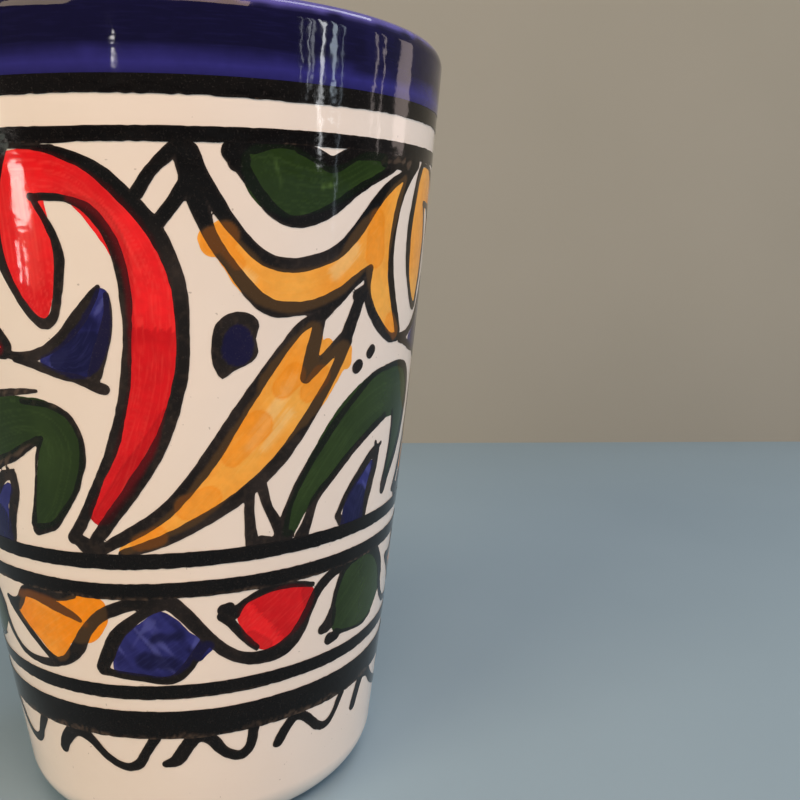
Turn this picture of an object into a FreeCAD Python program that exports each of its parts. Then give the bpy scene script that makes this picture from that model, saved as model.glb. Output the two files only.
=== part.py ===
import FreeCAD, Part
import Sketcher
import math
import os

# Hand-painted ceramic shot glass, in millimetres. +Z is up, the foot stands on Z = 0 and the
# wall's axis is the Z axis. Angles round the wall start at -Y, the front, and grow towards +X.

os.makedirs("parts", exist_ok=True)
doc = FreeCAD.newDocument("shot_glass")

SIZES = (
    ("height", 60.0),
    ("rim_radius", 21.33),
    ("foot_radius", 14.42),
    ("wall_bulge", 0.32),
    ("glaze_thickness", 0.25),
    ("paint_thickness", 0.08),
    ("lip_round", 1.3),
    ("lip_crown", 0.3),
    ("base_round", 3.6),
    ("wall_curve", 1400.0),
    ("floor_height", 5.0),
    ("floor_round", 3.0),
    ("wall_thickness", 2.9),
    ("foot_recess", 0.8),
    ("foot_hollow_radius", 8.2),
    ("foot_chamfer", 0.3),
    ("inside_band_foot", 57.0),
    ("blue_band_foot", 55.0),
    ("rim_line_foot", 53.85),
    ("top_line_head", 52.12),
    ("top_line_foot", 51.2),
    ("frieze_line_head", 24.28),
    ("frieze_line_foot", 23.16),
    ("vine_line_head", 22.07),
    ("vine_line_foot", 20.9),
    ("stem_line_head", 13.98),
    ("stem_line_foot", 12.85),
    ("base_band_head", 11.79),
    ("base_band_foot", 9.45),
)


class Size:
    """A length that carries its number and the sheet formula it comes from."""

    def __init__(self, number, text):
        self.number = number
        self.text = text

    def __add__(self, other):
        return Size(self.number + other.number, "(%s + %s)" % (self.text, other.text))

    def __sub__(self, other):
        return Size(self.number - other.number, "(%s - %s)" % (self.text, other.text))

    def __truediv__(self, other):
        return Size(self.number / other.number, "(%s / %s)" % (self.text, other.text))

    def times(self, factor):
        return Size(self.number * factor, "(%s * %r)" % (self.text, factor))

    def by(self, other):
        return Size(self.number * other.number, "(%s * %s)" % (self.text, other.text))


def fill_sheet():
    """Write every driving size as a plain number with a name, and give them back as Size values."""
    sheet = doc.addObject("Spreadsheet::Sheet", "sizes")
    named = {}
    for row, (name, value) in enumerate(SIZES, start=1):
        sheet.set("A%d" % row, name)
        sheet.set("B%d" % row, str(value))
        sheet.setAlias("B%d" % row, name)
        named[name] = Size(value, "sizes.%s" % name)
    doc.recompute()
    return named


S = fill_sheet()
NOTHING = Size(0.0, "0")
ONE = Size(1.0, "1")

# Directions of the wall at its two ends: it leans outward by 7.8 degrees above the foot
# and by 5.4 degrees below the lip.
LOW_LEAN = math.radians(7.8)
HIGH_LEAN = math.radians(5.4)
# The glaze stops on the base rounding, this far round it from the standing face.
GLAZE_STOP = math.radians(30.0)


def wall_radius(height):
    """Outer radius of the glazed wall: a straight taper with a slight belly."""
    share = height / S["height"]
    taper = (S["rim_radius"] - S["foot_radius"]).by(share)
    belly = S["wall_bulge"].times(4.0).by(share).by(ONE - share)
    return S["foot_radius"] + taper + belly


def standing_radius():
    """Radius where the base rounding meets the plane the glass stands on."""
    round_top = S["base_round"].times(1.0 - math.sin(LOW_LEAN))
    return wall_radius(round_top) - S["base_round"].times(math.cos(LOW_LEAN))


def surface_corners(depth):
    """Corners of the cup's skin at a depth below the glaze, from the foot over the lip to the floor.

    Each corner is (radius, height). A negative depth lies outside the glaze, where paint sits."""
    base = S["base_round"] - depth
    lip = S["lip_round"] - depth
    floor_arc = S["floor_round"] + depth
    stand = standing_radius()
    lip_start = S["height"] - S["lip_round"].times(1.0 + math.sin(HIGH_LEAN))
    outer_lip = wall_radius(lip_start) - S["lip_round"].times(math.cos(HIGH_LEAN))
    inner_lip = outer_lip - S["lip_crown"]
    lip_level = S["height"] - S["lip_round"]
    inner_foot = S["floor_height"] + S["floor_round"].times(1.0 - math.sin(LOW_LEAN))
    floor_edge = wall_radius(inner_foot) - S["wall_thickness"] - S["floor_round"].times(math.cos(LOW_LEAN))
    floor_level = S["floor_height"] + S["floor_round"]
    return [
        (stand + base.times(math.sin(GLAZE_STOP)), S["base_round"] - base.times(math.cos(GLAZE_STOP))),
        (stand + base.times(math.cos(LOW_LEAN)), S["base_round"] - base.times(math.sin(LOW_LEAN))),
        (outer_lip + lip.times(math.cos(HIGH_LEAN)), lip_level - lip.times(math.sin(HIGH_LEAN))),
        (outer_lip, S["height"] - depth),
        (inner_lip, S["height"] - depth),
        (inner_lip - lip.times(math.cos(HIGH_LEAN)), lip_level + lip.times(math.sin(HIGH_LEAN))),
        (floor_edge + floor_arc.times(math.cos(LOW_LEAN)), floor_level - floor_arc.times(math.sin(LOW_LEAN))),
        (floor_edge, S["floor_height"] - depth),
        (NOTHING, S["floor_height"] - depth),
    ]


def surface_arcs(depth):
    """Arcs of surface_corners: start corner to (radius, turn), where turn 1 is anticlockwise."""
    return {
        0: (S["base_round"] - depth, 1),
        1: (S["wall_curve"], 1),
        2: (S["lip_round"] - depth, 1),
        4: (S["lip_round"] - depth, 1),
        6: (S["floor_round"] + depth, -1),
    }


def arc_between(start, end, radius, turn):
    """Circular arc for a sketch from start to end; turn is 1 for anticlockwise travel."""
    chord = end - start
    left = FreeCAD.Vector(-chord.y, chord.x, 0).normalize()
    reach = math.sqrt(max(radius ** 2 - chord.Length ** 2 / 4.0, 0.0))
    centre = (start + end) / 2.0 + left * reach * turn
    first = start if turn > 0 else end
    last = end if turn > 0 else start
    begin = math.atan2(first.y - centre.y, first.x - centre.x)
    finish = math.atan2(last.y - centre.y, last.x - centre.x)
    if finish < begin:
        finish += 2.0 * math.pi
    circle = Part.Circle(centre, FreeCAD.Vector(0, 0, 1), radius)
    return Part.ArcOfCircle(circle, begin, finish)


def bind(sketch, constraint, value):
    """Add a named size constraint and bind it to its sheet formula."""
    index = sketch.addConstraint(constraint)
    sketch.renameConstraint(index, "size%d" % index)
    sketch.setExpression("Constraints.size%d" % index, value.text)


def draw_profile(sketch, corners, arcs):
    """Closed outline through the corners, with every corner and arc bound to the sheet."""
    points = [FreeCAD.Vector(x.number, y.number, 0) for x, y in corners]
    count = len(points)
    starts = []
    for i in range(count):
        end = points[(i + 1) % count]
        if i in arcs:
            radius, turn = arcs[i]
            sketch.addGeometry(arc_between(points[i], end, radius.number, turn), False)
            starts.append(1 if turn > 0 else 2)
        else:
            sketch.addGeometry(Part.LineSegment(points[i], end), False)
            starts.append(1)
    for i in range(count):
        follower = (i + 1) % count
        sketch.addConstraint(Sketcher.Constraint("Coincident", i, 3 - starts[i], follower, starts[follower]))
    for i, (x, y) in enumerate(corners):
        if x.number == 0.0:
            sketch.addConstraint(Sketcher.Constraint("PointOnObject", i, starts[i], -2))
        else:
            bind(sketch, Sketcher.Constraint("DistanceX", -1, 1, i, starts[i], x.number), x)
        if y.number == 0.0:
            sketch.addConstraint(Sketcher.Constraint("PointOnObject", i, starts[i], -1))
        else:
            bind(sketch, Sketcher.Constraint("DistanceY", -1, 1, i, starts[i], y.number), y)
    for i, (radius, turn) in arcs.items():
        bind(sketch, Sketcher.Constraint("Radius", i, radius.number), radius)


def turned_piece(label, corners, arcs):
    """A body turned about the Z axis from a closed outline of (radius, height) corners."""
    body = doc.addObject("PartDesign::Body", label)
    body.Label = label
    sketch = body.newObject("Sketcher::SketchObject", label + "_outline")
    plane = [item for item in body.Origin.OriginFeatures if item.Role == "XZ_Plane"][0]
    sketch.AttachmentSupport = (plane, [""])
    sketch.MapMode = "FlatFace"
    draw_profile(sketch, corners, arcs)
    doc.recompute()
    turn = body.newObject("PartDesign::Revolution", label + "_turn")
    turn.Profile = sketch
    turn.ReferenceAxis = (sketch, ["V_Axis"])
    turn.Angle = 360.0
    body.Tip = turn
    doc.recompute()
    return body


def clay_body():
    """The fired clay: wall, floor and a bare foot ring round a shallow hollow."""
    skin = surface_corners(S["glaze_thickness"])
    stand = standing_radius()
    corners = [(stand, S["glaze_thickness"])] + skin[1:]
    corners += [
        (NOTHING, S["foot_recess"]),
        (S["foot_hollow_radius"], S["foot_recess"]),
        (S["foot_hollow_radius"] + S["foot_chamfer"], NOTHING),
        (stand - S["foot_chamfer"], NOTHING),
    ]
    return turned_piece("clay_body", corners, surface_arcs(S["glaze_thickness"]))


def white_glaze():
    """The white glaze: one thin coat outside, over the lip and inside, open at the bare foot."""
    outside = surface_corners(NOTHING)
    inside = surface_corners(S["glaze_thickness"])
    inside.reverse()
    arcs = surface_arcs(NOTHING)
    last = len(outside) + len(inside) - 2
    for start, (radius, turn) in surface_arcs(S["glaze_thickness"]).items():
        arcs[last - start] = (radius, -turn)
    return turned_piece("white_glaze", outside + inside, arcs)


def blue_rim_band():
    """The blue band: up the outside, over the lip and a little way down the inside."""
    under = surface_corners(NOTHING)
    over = surface_corners(NOTHING - S["paint_thickness"])
    foot = S["blue_band_foot"]
    inner_end = inner_wall_point(under, S["inside_band_foot"])
    over_end = (inner_end[0] - S["paint_thickness"], S["inside_band_foot"])
    under_run = [(wall_radius(foot), foot)] + under[2:6] + [inner_end]
    over_run = [(wall_radius(foot) + S["paint_thickness"], foot)] + over[2:6] + [over_end]
    over_run.reverse()
    lip = S["lip_round"]
    proud = S["lip_round"] + S["paint_thickness"]
    arcs = {1: (lip, 1), 3: (lip, 1), 7: (proud, -1), 9: (proud, -1)}
    return turned_piece("blue_rim_band", under_run + over_run, arcs)


def inner_wall_point(skin, level):
    """Point of the inner wall at a level, on the straight run from the lip to the floor rounding."""
    top = skin[5]
    low = skin[6]
    share = (level - low[1]) / (top[1] - low[1])
    return (low[0] + (top[0] - low[0]).by(share), level)


def painted_line(label, foot, head):
    """A line or band of paint right round the wall between two heights."""
    skin = S["paint_thickness"]
    corners = [
        (wall_radius(foot), foot),
        (wall_radius(foot) + skin, foot),
        (wall_radius(head) + skin, head),
        (wall_radius(head), head),
    ]
    return turned_piece(label, corners, {})


def painted_lines():
    """The six turned lines and bands of black paint."""
    return [
        painted_line("rim_line", S["rim_line_foot"], S["blue_band_foot"]),
        painted_line("frieze_top_line", S["top_line_foot"], S["top_line_head"]),
        painted_line("frieze_bottom_line", S["frieze_line_foot"], S["frieze_line_head"]),
        painted_line("vine_top_line", S["vine_line_foot"], S["vine_line_head"]),
        painted_line("vine_bottom_line", S["stem_line_foot"], S["stem_line_head"]),
        painted_line("base_band", S["base_band_foot"], S["base_band_head"]),
    ]


# Brush strokes are rows of (angle in degrees, height in mm, width in mm) along the stroke.
# The frieze is one motif, painted four times; these are the strokes of one of them.

HOOK_OUTLINES = (
    ((-24, 50.9, 0.4), (-19.5, 50.4, 0.65), (-10.8, 48.3, 1.05), (-5.4, 46.0, 1.1), (-2, 43, 1.0),
     (-1.25, 40, 0.9), (-2.1, 36.6, 0.9), (-6.3, 32.5, 1.0), (-13.3, 29, 1.1), (-24.5, 24.2, 0.9)),
    ((-26.3, 48.0, 0.45), (-20.3, 47.85, 0.5), (-15.6, 46.9, 0.7), (-12.4, 44.8, 0.8), (-11.3, 42, 0.75),
     (-11.7, 39, 0.6), (-13.3, 35.5, 0.7), (-16.6, 32, 0.8), (-24.6, 27, 0.8), (-28.4, 25.3, 0.9)),
    ((-26.8, 48.0, 0.4), (-23.3, 45.4, 0.6), (-23.6, 42.8, 0.7), (-28.3, 40.15, 0.75), (-33.9, 42.7, 0.6),
     (-35.6, 44.8, 0.85), (-34.9, 47.8, 0.85), (-30.5, 51.6, 0.6)),
)
RUNGS = (
    ((-1.5, 50.75, 0.9), (-5.3, 49.5, 0.8), (-7.9, 48.2, 0.9)),
    ((0.8, 48.9, 1.0), (-2.3, 47.4, 0.85), (-4.7, 46.4, 0.9)),
)
HORN_OUTLINES = (
    ((0, 51.8, 1.3), (0.9, 49, 1.0), (4.6, 45.4, 0.8), (12, 41.9, 1.0), (20.5, 40.8, 0.95), (31.5, 41.7, 0.9),
     (40, 43.35, 0.6)),
    ((0.8, 51.2, 1.3), (3.4, 49.0, 0.9), (10.3, 45.4, 0.9), (20, 43.7, 0.95), (31, 44.8, 1.0),
     (36, 46.2, 1.05),
     (45, 49.1, 0.85), (54, 51.2, 0.7)),
    ((57.5, 51.4, 0.8), (52, 49.6, 0.9), (47.6, 46.2, 0.75), (47.2, 44.4, 0.75), (50.2, 40.7, 0.85),
     (53.6, 38.5, 1.0)),
    ((39.8, 43.2, 0.6), (39.3, 42, 0.8), (43, 39.7, 0.85), (50, 38.1, 0.75), (53.8, 38.2, 0.8)),
)
LEAF_OUTLINES = (
    ((-22, 24.4, 0.8), (-12, 26.25, 1.0), (0, 29.7, 1.1), (8.5, 33.7, 1.0), (18, 38.0, 0.8),
     (26.3, 40.2, 0.9)),
    ((-17, 24.2, 0.6), (0, 26.4, 0.9), (15, 29.5, 1.0), (25.5, 33.5, 0.95), (34.3, 38.3, 0.9)),
    ((26.6, 40.0, 0.9), (25.3, 38, 1.1), (23.7, 36.0, 1.0)),
    ((23.4, 36.0, 1.0), (28.5, 37.3, 0.9), (33.5, 38.6, 1.0)),
    ((26.3, 40.1, 0.9), (29.5, 40.9, 0.9), (34, 42.1, 0.8)),
    ((33.5, 38.3, 1.1), (35.4, 39.8, 1.0), (38.0, 41.6, 1.2)),
)
ARCH_OUTLINES = (
    ((18.8, 24.2, 1.0), (20.3, 26.6, 0.7), (28, 30.8, 0.7), (38.5, 34.25, 0.65), (50, 35.85, 0.5),
     (62, 35.3, 0.7), (65.6, 32.6, 0.8), (59.5, 28, 0.7), (54.1, 25.9, 1.0)),
    ((53.9, 26.3, 0.9), (55.7, 29.5, 0.4), (55.6, 32.1, 0.4)),
    ((55.9, 32.2, 0.4), (46, 31.5, 0.6), (36, 29.45, 0.6), (27.6, 27.0, 0.7), (24.2, 24.2, 1.0)),
)
LIP_LEAF_OUTLINES = (
    ((8.4, 51.4, 1.5), (10.3, 49.7, 1.0), (15.8, 47.2, 0.8), (24.5, 46.75, 0.9), (34, 48.5, 0.75),
     (44, 50.1, 0.6), (50, 51.3, 0.6)),
    ((20.5, 51.3, 0.6), (28, 50.05, 0.6), (35.5, 51.2, 0.6)),
)
BLUE_LEAF_OUTLINES = (
    ((-36, 37.7, 0.4), (-28.7, 38.35, 0.7), (-20, 40.8, 1.0), (-16.2, 42.5, 0.3)),
    ((-14.9, 42, 0.4), (-15.6, 39.6, 0.85), (-18.6, 36.6, 1.0)),
    ((-36, 37.7, 0.4), (-26.5, 36.85, 0.6), (-17, 35.9, 0.75)),
    ((34.5, 25.0, 0.6), (37.5, 26.6, 0.7), (42, 28.1, 0.75), (48.6, 29.5, 0.8)),
    ((48.6, 29.5, 0.8), (46.8, 27, 0.9), (44.4, 24.2, 0.9)),
)
STEMS = (
    ((11.3, 28.1, 0.7), (11.2, 26.5, 0.75), (11.8, 24.2, 0.9)),
    ((13.9, 28.7, 0.75), (15.5, 27, 0.7), (19.0, 24.2, 1.0)),
)
DOTS = (
    ((37.6, 36.35, 0.9), (38.4, 36.35, 0.9)),
    ((41.9, 37.3, 0.9), (42.7, 37.3, 0.9)),
)
BLUE_DOT_RIM = (
    (3.9, 38.3), (4.9, 40.1), (8.8, 40.8), (12.3, 40.5), (13.2, 39.6), (12.9, 38.1), (8.0, 36.9),
    (5.8, 36.4), (4.4, 37.1),
)

# Fills are closed outlines of (angle, height), or strokes where one brush pass made them.
HOOK_FILL = (
    ((-30, 49.5, 2.4), (-25, 49.5, 2.6), (-20, 49.1, 2.15), (-15, 47.75, 2.45), (-9.8, 45.3, 2.75),
     (-6.9, 42.5, 2.65), (-6.9, 39.5, 3.05), (-8.2, 36, 2.75), (-11.7, 32.3, 2.5), (-15.5, 29.6, 2.2),
     (-20.6, 27.3, 1.8)),
    ((-28, 40.9, 0.9), (-28.7, 42.2, 2.3), (-29.3, 44.3, 3.5), (-29.3, 46.6, 3.4), (-29.4, 49.4, 3.0)),
)
HORN_FILL = (
    ((3.8, 46.7, 1.2), (8.5, 43.9, 2.0), (16, 42.2, 2.4), (20.5, 42.05, 2.5), (31, 43.1, 2.5),
     (37, 44.6, 2.6)),
    ((50.5, 49.6, 0.6), (46, 47.7, 2.2), (42.6, 45.2, 2.9), (42.7, 42.6, 2.4), (46.5, 40.3, 1.6),
     (51.5, 38.6, 0.7)),
    ((34, 43.9, 2.4), (38, 45.2, 2.9), (42, 46.3, 2.6)),
)
LEAF_FILL = (
    ((-16.5, 24.7, 0.5), (-10, 25.8, 1.1), (-3, 27.4, 2.0), (4, 29.6, 2.8), (10, 31.8, 3.6), (16, 33.9, 4.2),
     (21, 35.0, 3.8)),
    ((18, 35.3, 3.8), (22.3, 37.4, 2.6), (25.2, 39.3, 1.0)),
    ((20, 34.0, 3.4), (27, 35.7, 2.4), (33, 37.7, 1.4)),
)
ARCH_FILL = (
    ((20.6, 25.0, 0.9), (22.8, 26.6, 1.4), (26.5, 28.3, 2.1), (31, 30.1, 2.8), (37, 32.1, 3.4),
     (43.5, 33.3, 3.9),
     (51, 33.9, 3.9), (57, 33.7, 3.9)),
    ((54.5, 33.8, 3.6), (59, 33.6, 3.6), (61.0, 32.3, 3.2), (60.6, 30.4, 2.5), (57.8, 28.4, 1.7),
     (55.7, 27, 0.9)),
)
LIP_LEAF_FILL = (
    ((13.8, 49.9, 2.3), (17.5, 49.2, 3.6), (21.5, 48.8, 3.2), (27, 48.8, 2.3), (37, 50.0, 1.7),
     (41.8, 50.6, 1.0)),
)
BLUE_LEAF_FILL = (
    ((-28.8, 37.7, 0.5), (-25.5, 37.7, 1.4), (-21.5, 38.0, 2.5), (-18.5, 39.2, 2.2), (-16.4, 41, 1.2),
     (-15.7, 42.0, 0.5)),
    ((40, 24.9, 2.3), (41, 26.0, 1.9), (43.3, 27.2, 1.1), (46.3, 28.3, 0.5)),
)
BLUE_DOT_FILL = (
    (6.3, 37.9), (6.9, 39.4), (8.9, 39.9), (10.9, 39.5), (11.9, 38.6), (11.2, 37.7), (8.9, 37.3),
)

# One wave of the vine: a leaf standing on the stem and a leaf hanging from it. Six waves go round.
STEM = (
    (-1, 18.3, 1.0), (5, 16.4, 0.95), (10, 15.5, 0.95), (15, 15.2, 1.0), (20, 15.5, 1.1), (24, 16.5, 1.1),
    (27.5, 18.3, 0.9), (34, 20.5, 0.9), (39, 21.2, 0.9), (52, 21.0, 1.0), (57, 19.5, 0.9), (59, 18.3, 1.0),
)
UP_LEAF_OUTLINES = (
    ((5.3, 19.6, 1.2), (9.5, 19.9, 0.6), (17, 21.1, 0.8), (26, 20.4, 0.5)),
    ((4.9, 19.4, 0.9), (7, 18.4, 0.7), (10, 17.1, 0.6), (13, 16.2, 0.4)),
)
DOWN_LEAF_OUTLINES = (
    ((32.4, 16.1, 0.9), (34.5, 16.4, 1.2), (35.6, 17.8, 0.6), (38.5, 20.3, 0.6), (41.5, 21.3, 0.7)),
    ((35.2, 15.3, 0.9), (37.5, 15.2, 0.7), (42, 14.9, 0.35), (50, 14.7, 0.35), (57, 15.8, 0.3)),
)
UP_LEAF_FILL = (
    (8.8, 19.0), (10, 19.7), (15, 20.3), (20, 20.6), (25, 20.3), (28.2, 19.4), (27.2, 18.2), (24.5, 17.1),
    (20, 16.3), (16, 16.0), (12, 16.7), (10.2, 17.5),
)
DOWN_LEAF_FILL = (
    (36.3, 15.9), (36.2, 17.3), (37.4, 19), (39.7, 20.3), (44, 20.8), (50, 20.7), (54, 20.2), (57.2, 18.9),
    (59.5, 17.7), (58.3, 16.7), (55, 15.6), (50.5, 14.95), (45, 15.1), (40, 15.3), (37.8, 15.5),
)
SCALLOP = (
    (-11.6, 7.25, 0.6), (-8.5, 7.55, 1.0), (-6.2, 8.5, 1.1), (-3, 9.4, 1.1), (0.5, 9.2, 1.0),
     (3.5, 8.1, 0.85),
    (6.3, 7.5, 0.8), (9, 7.35, 0.85), (11.4, 8.0, 0.75), (12.6, 9.8, 0.85),
)

FRIEZE_REPEATS = 4
VINE_WAVES = 6
SCALLOPS = 12
FRIEZE_MIDDLE = 15.0
WAVE_MIDDLE = 30.0
SCALLOP_MIDDLE = 0.0
SCALLOP_FOOT = 6.0
# Area in square mm below which a leftover of paint is not a film of its own.
SMALLEST_PATCH = 0.4


def radius_at(level):
    """Outer radius of the wall at a height, as a plain number."""
    return wall_radius(Size(level, "0")).number


def flat_point(angle, level, middle):
    """Point of the wall seen straight on from the middle angle, in the XZ plane."""
    return FreeCAD.Vector(radius_at(level) * math.sin(math.radians(angle - middle)), 0, level)


def stroke_sides(rows):
    """Angle and height along both sides of a stroke, and of its two rounded tips."""
    left = []
    right = []
    tips = []
    for i, (angle, level, width) in enumerate(rows):
        before = rows[max(i - 1, 0)]
        after = rows[min(i + 1, len(rows) - 1)]
        around = math.radians(after[0] - before[0]) * radius_at(level)
        rise = after[1] - before[1]
        run = math.hypot(around, rise)
        half = width / 2.0
        turn = math.degrees(half / radius_at(level))
        left.append((angle - rise / run * turn, level + around / run * half))
        right.append((angle + rise / run * turn, level - around / run * half))
        if i in (0, len(rows) - 1):
            outward = -1.0 if i == 0 else 1.0
            tips.append((angle + outward * around / run * turn, level + outward * rise / run * half))
    return left, right, tips


def curve_through(points):
    """Smooth edge through the points, or a straight one through two."""
    if len(points) == 2:
        return Part.LineSegment(points[0], points[1]).toShape()
    curve = Part.BSplineCurve()
    curve.interpolate(points)
    return curve.toShape()


def stroke_face(rows, middle):
    """Flat face of one brush stroke with rounded tips."""
    left, right, tips = stroke_sides(rows)
    left = [flat_point(a, z, middle) for a, z in left]
    right = [flat_point(a, z, middle) for a, z in right]
    start, end = [flat_point(a, z, middle) for a, z in tips]
    right.reverse()
    edges = [
        curve_through(left),
        Part.Arc(left[-1], end, right[0]).toShape(),
        curve_through(right),
        Part.Arc(right[-1], start, left[0]).toShape(),
    ]
    return Part.Face(Part.Wire(edges))


def patch_face(outline, middle):
    """Flat face inside a closed smooth outline."""
    curve = Part.BSplineCurve()
    curve.interpolate(Points=[flat_point(a, z, middle) for a, z in outline], PeriodicFlag=True)
    return Part.Face(Part.Wire([curve.toShape()]))


def joined(faces):
    """The regions covered by the faces together, each region one clean face."""
    if len(faces) == 1:
        return faces
    pieces = faces[0].multiFuse(faces[1:])
    return Part.Shell(pieces.Faces).removeSplitter().Faces


def wall_skin(foot, head, rings):
    """The layer of one paint thickness on the wall between two heights, as a stack of conical rings."""
    skin = S["paint_thickness"].number
    levels = [foot + (head - foot) * i / rings for i in range(rings + 1)]
    under = [FreeCAD.Vector(0, radius_at(z), z) for z in levels]
    over = [FreeCAD.Vector(0, radius_at(z) + skin, z) for z in reversed(levels)]
    section = Part.Face(Part.makePolygon(under + over + [under[0]]))
    return section.revolve(FreeCAD.Vector(0, 0, 0), FreeCAD.Vector(0, 0, 1), 360)


def paint_film(faces, skin):
    """Films of paint where flat faces in the XZ plane, pushed towards the front, meet the skin."""
    inner_reach = 3.0
    outer_reach = 26.0
    films = []
    for face in faces:
        block = face.copy()
        block.translate(FreeCAD.Vector(0, -inner_reach, 0))
        films += skin.common(block.extrude(FreeCAD.Vector(0, -outer_reach, 0))).Solids
    return films


def turned_copies(films, angles):
    """Copies of the films turned about the wall's axis to each angle."""
    copies = []
    for angle in angles:
        for film in films:
            copy = film.copy()
            copy.rotate(FreeCAD.Vector(0, 0, 0), FreeCAD.Vector(0, 0, 1), angle)
            copies.append(copy)
    return copies


def painted_piece(label, films):
    """One colour of paint as a document object of its own."""
    piece = doc.addObject("Part::Feature", label)
    piece.Label = label
    piece.Shape = Part.makeCompound(films)
    piece.Placement = FreeCAD.Placement()
    return piece


def without(faces, cover):
    """Faces with the parts under the black lines taken away; slivers left between lines are dropped."""
    cut = Part.makeCompound(faces).cut(Part.makeCompound(cover)).Faces
    return [face for face in cut if face.Area > SMALLEST_PATCH]


def frieze_paint():
    """The main frieze: one motif four times, with red and yellow changing places each time."""
    middle = FRIEZE_MIDDLE
    skin = wall_skin(S["frieze_line_head"].number, S["top_line_foot"].number, 3)
    groups = (HOOK_OUTLINES, RUNGS, HORN_OUTLINES, LEAF_OUTLINES, ARCH_OUTLINES, LIP_LEAF_OUTLINES,
              BLUE_LEAF_OUTLINES, STEMS, DOTS)
    lines = [stroke_face(rows, middle) for group in groups for rows in group]
    dot = patch_face(BLUE_DOT_FILL, middle)
    lines.append(patch_face(BLUE_DOT_RIM, middle).cut(dot).Faces[0])
    black = joined(lines)

    def fill(*groups):
        faces = joined([stroke_face(rows, middle) for group in groups for rows in group])
        return paint_film(without(faces, black), skin)

    hook = fill(HOOK_FILL)
    horns = fill(HORN_FILL, LEAF_FILL)
    green = fill(ARCH_FILL, LIP_LEAF_FILL)
    blue = fill(BLUE_LEAF_FILL) + paint_film([dot], skin)
    step = 360.0 / FRIEZE_REPEATS
    every = [middle + step * i for i in range(FRIEZE_REPEATS)]
    even = every[0::2]
    odd = every[1::2]
    return [
        painted_piece("frieze_outlines", turned_copies(paint_film(black, skin), every)),
        painted_piece("frieze_red", turned_copies(hook, even) + turned_copies(horns, odd)),
        painted_piece("frieze_yellow", turned_copies(hook, odd) + turned_copies(horns, even)),
        painted_piece("frieze_green", turned_copies(green, every)),
        painted_piece("frieze_blue", turned_copies(blue, every)),
    ]


def vine_paint():
    """The vine: a waving stem with leaves red, green, yellow and blue in turn."""
    middle = WAVE_MIDDLE
    skin = wall_skin(S["stem_line_head"].number, S["vine_line_foot"].number, 1)
    strokes = (STEM,) + UP_LEAF_OUTLINES + DOWN_LEAF_OUTLINES
    black = joined([stroke_face(rows, middle) for rows in strokes])
    up_leaf = paint_film(without([patch_face(UP_LEAF_FILL, middle)], black), skin)
    down_leaf = paint_film(without([patch_face(DOWN_LEAF_FILL, middle)], black), skin)
    step = 360.0 / VINE_WAVES
    every = [middle + step * i for i in range(VINE_WAVES)]
    even = every[0::2]
    odd = every[1::2]
    return [
        painted_piece("vine_outlines", turned_copies(paint_film(black, skin), every)),
        painted_piece("vine_red", turned_copies(up_leaf, even)),
        painted_piece("vine_green", turned_copies(down_leaf, even)),
        painted_piece("vine_yellow", turned_copies(up_leaf, odd)),
        painted_piece("vine_blue", turned_copies(down_leaf, odd)),
    ]


def scallop_paint():
    """The fringe of loose brush strokes that hangs from the thick band near the base."""
    middle = SCALLOP_MIDDLE
    skin = wall_skin(SCALLOP_FOOT, S["base_band_foot"].number, 1)
    film = paint_film([stroke_face(SCALLOP, middle)], skin)
    angles = [middle + 360.0 / SCALLOPS * i for i in range(SCALLOPS)]
    return [painted_piece("scallop_strokes", turned_copies(film, angles))]


def check_and_export(pieces):
    """Stop on any failed object or bad shape, then write one STEP file for each piece."""
    doc.recompute()
    for item in doc.Objects:
        if "Invalid" in item.State or "Error" in item.State:
            raise RuntimeError("%s failed: %s" % (item.Name, item.State))
    for piece in pieces:
        if piece.Shape.isNull() or not piece.Shape.isValid():
            raise RuntimeError("%s has a bad shape" % piece.Label)
        if not piece.Shape.Solids:
            raise RuntimeError("%s has no solid" % piece.Label)
    for piece in pieces:
        piece.Shape.exportStep("parts/%s.step" % piece.Label)
        print(piece.Label, len(piece.Shape.Solids), round(piece.Shape.Volume, 2))


check_and_export(
    [clay_body(), white_glaze(), blue_rim_band()] + painted_lines() + frieze_paint() + vine_paint()
    + scallop_paint()
)
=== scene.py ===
import math

import bpy
import numpy as np
from mathutils import Matrix, Vector


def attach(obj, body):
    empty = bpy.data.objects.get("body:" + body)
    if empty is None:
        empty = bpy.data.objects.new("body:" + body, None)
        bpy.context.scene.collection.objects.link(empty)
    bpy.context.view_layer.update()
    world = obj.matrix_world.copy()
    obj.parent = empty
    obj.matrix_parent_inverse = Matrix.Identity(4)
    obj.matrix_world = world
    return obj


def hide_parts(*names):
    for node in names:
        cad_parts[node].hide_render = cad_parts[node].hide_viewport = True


# Hand-painted ceramic shot glass. Places on the wall are (angle in degrees, height in mm): the angle
# starts at -Y, the front, and grows towards +X. Lengths are in mm until a mesh is made.

MM = 0.001
HEIGHT = 60.0
FOOT_RADIUS = 14.42
TAPER = 6.91
BELLY = 1.28
LOW_LEAN = math.radians(7.8)
HIGH_LEAN = math.radians(5.4)
BASE_ROUND = 3.6
LIP_ROUND = 1.3
LIP_CROWN = 0.3
FLOOR_HEIGHT = 5.0
FLOOR_ROUND = 3.0
WALL_THICKNESS = 2.9
# Length once round the wall and along one degree of it, a little above mid height.
AROUND = 118.0
MM_PER_DEGREE = 0.33

# How fine the grids on the wall, the resampled strokes and patches and the turned profiles are.
GRID = 0.13
LINE_GRID = 0.11
STROKE_STEP = 0.5
PATCH_STEP = 0.6
PROFILE_STEP = 0.5
ARC_STEPS = 10
FOOT_STEPS = 12
# How far outside its edge a stroke or a patch is still worked out, and the depth beyond that.
STROKE_MARGIN = 0.55
PATCH_MARGIN = 0.6
FAR = 9.0
# How far in from its edge a film has swollen, and how clear of the grid points its edge stays, as a share.
SWELL_WIDTH = 0.2
EDGE_CLEAR = 0.04
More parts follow.
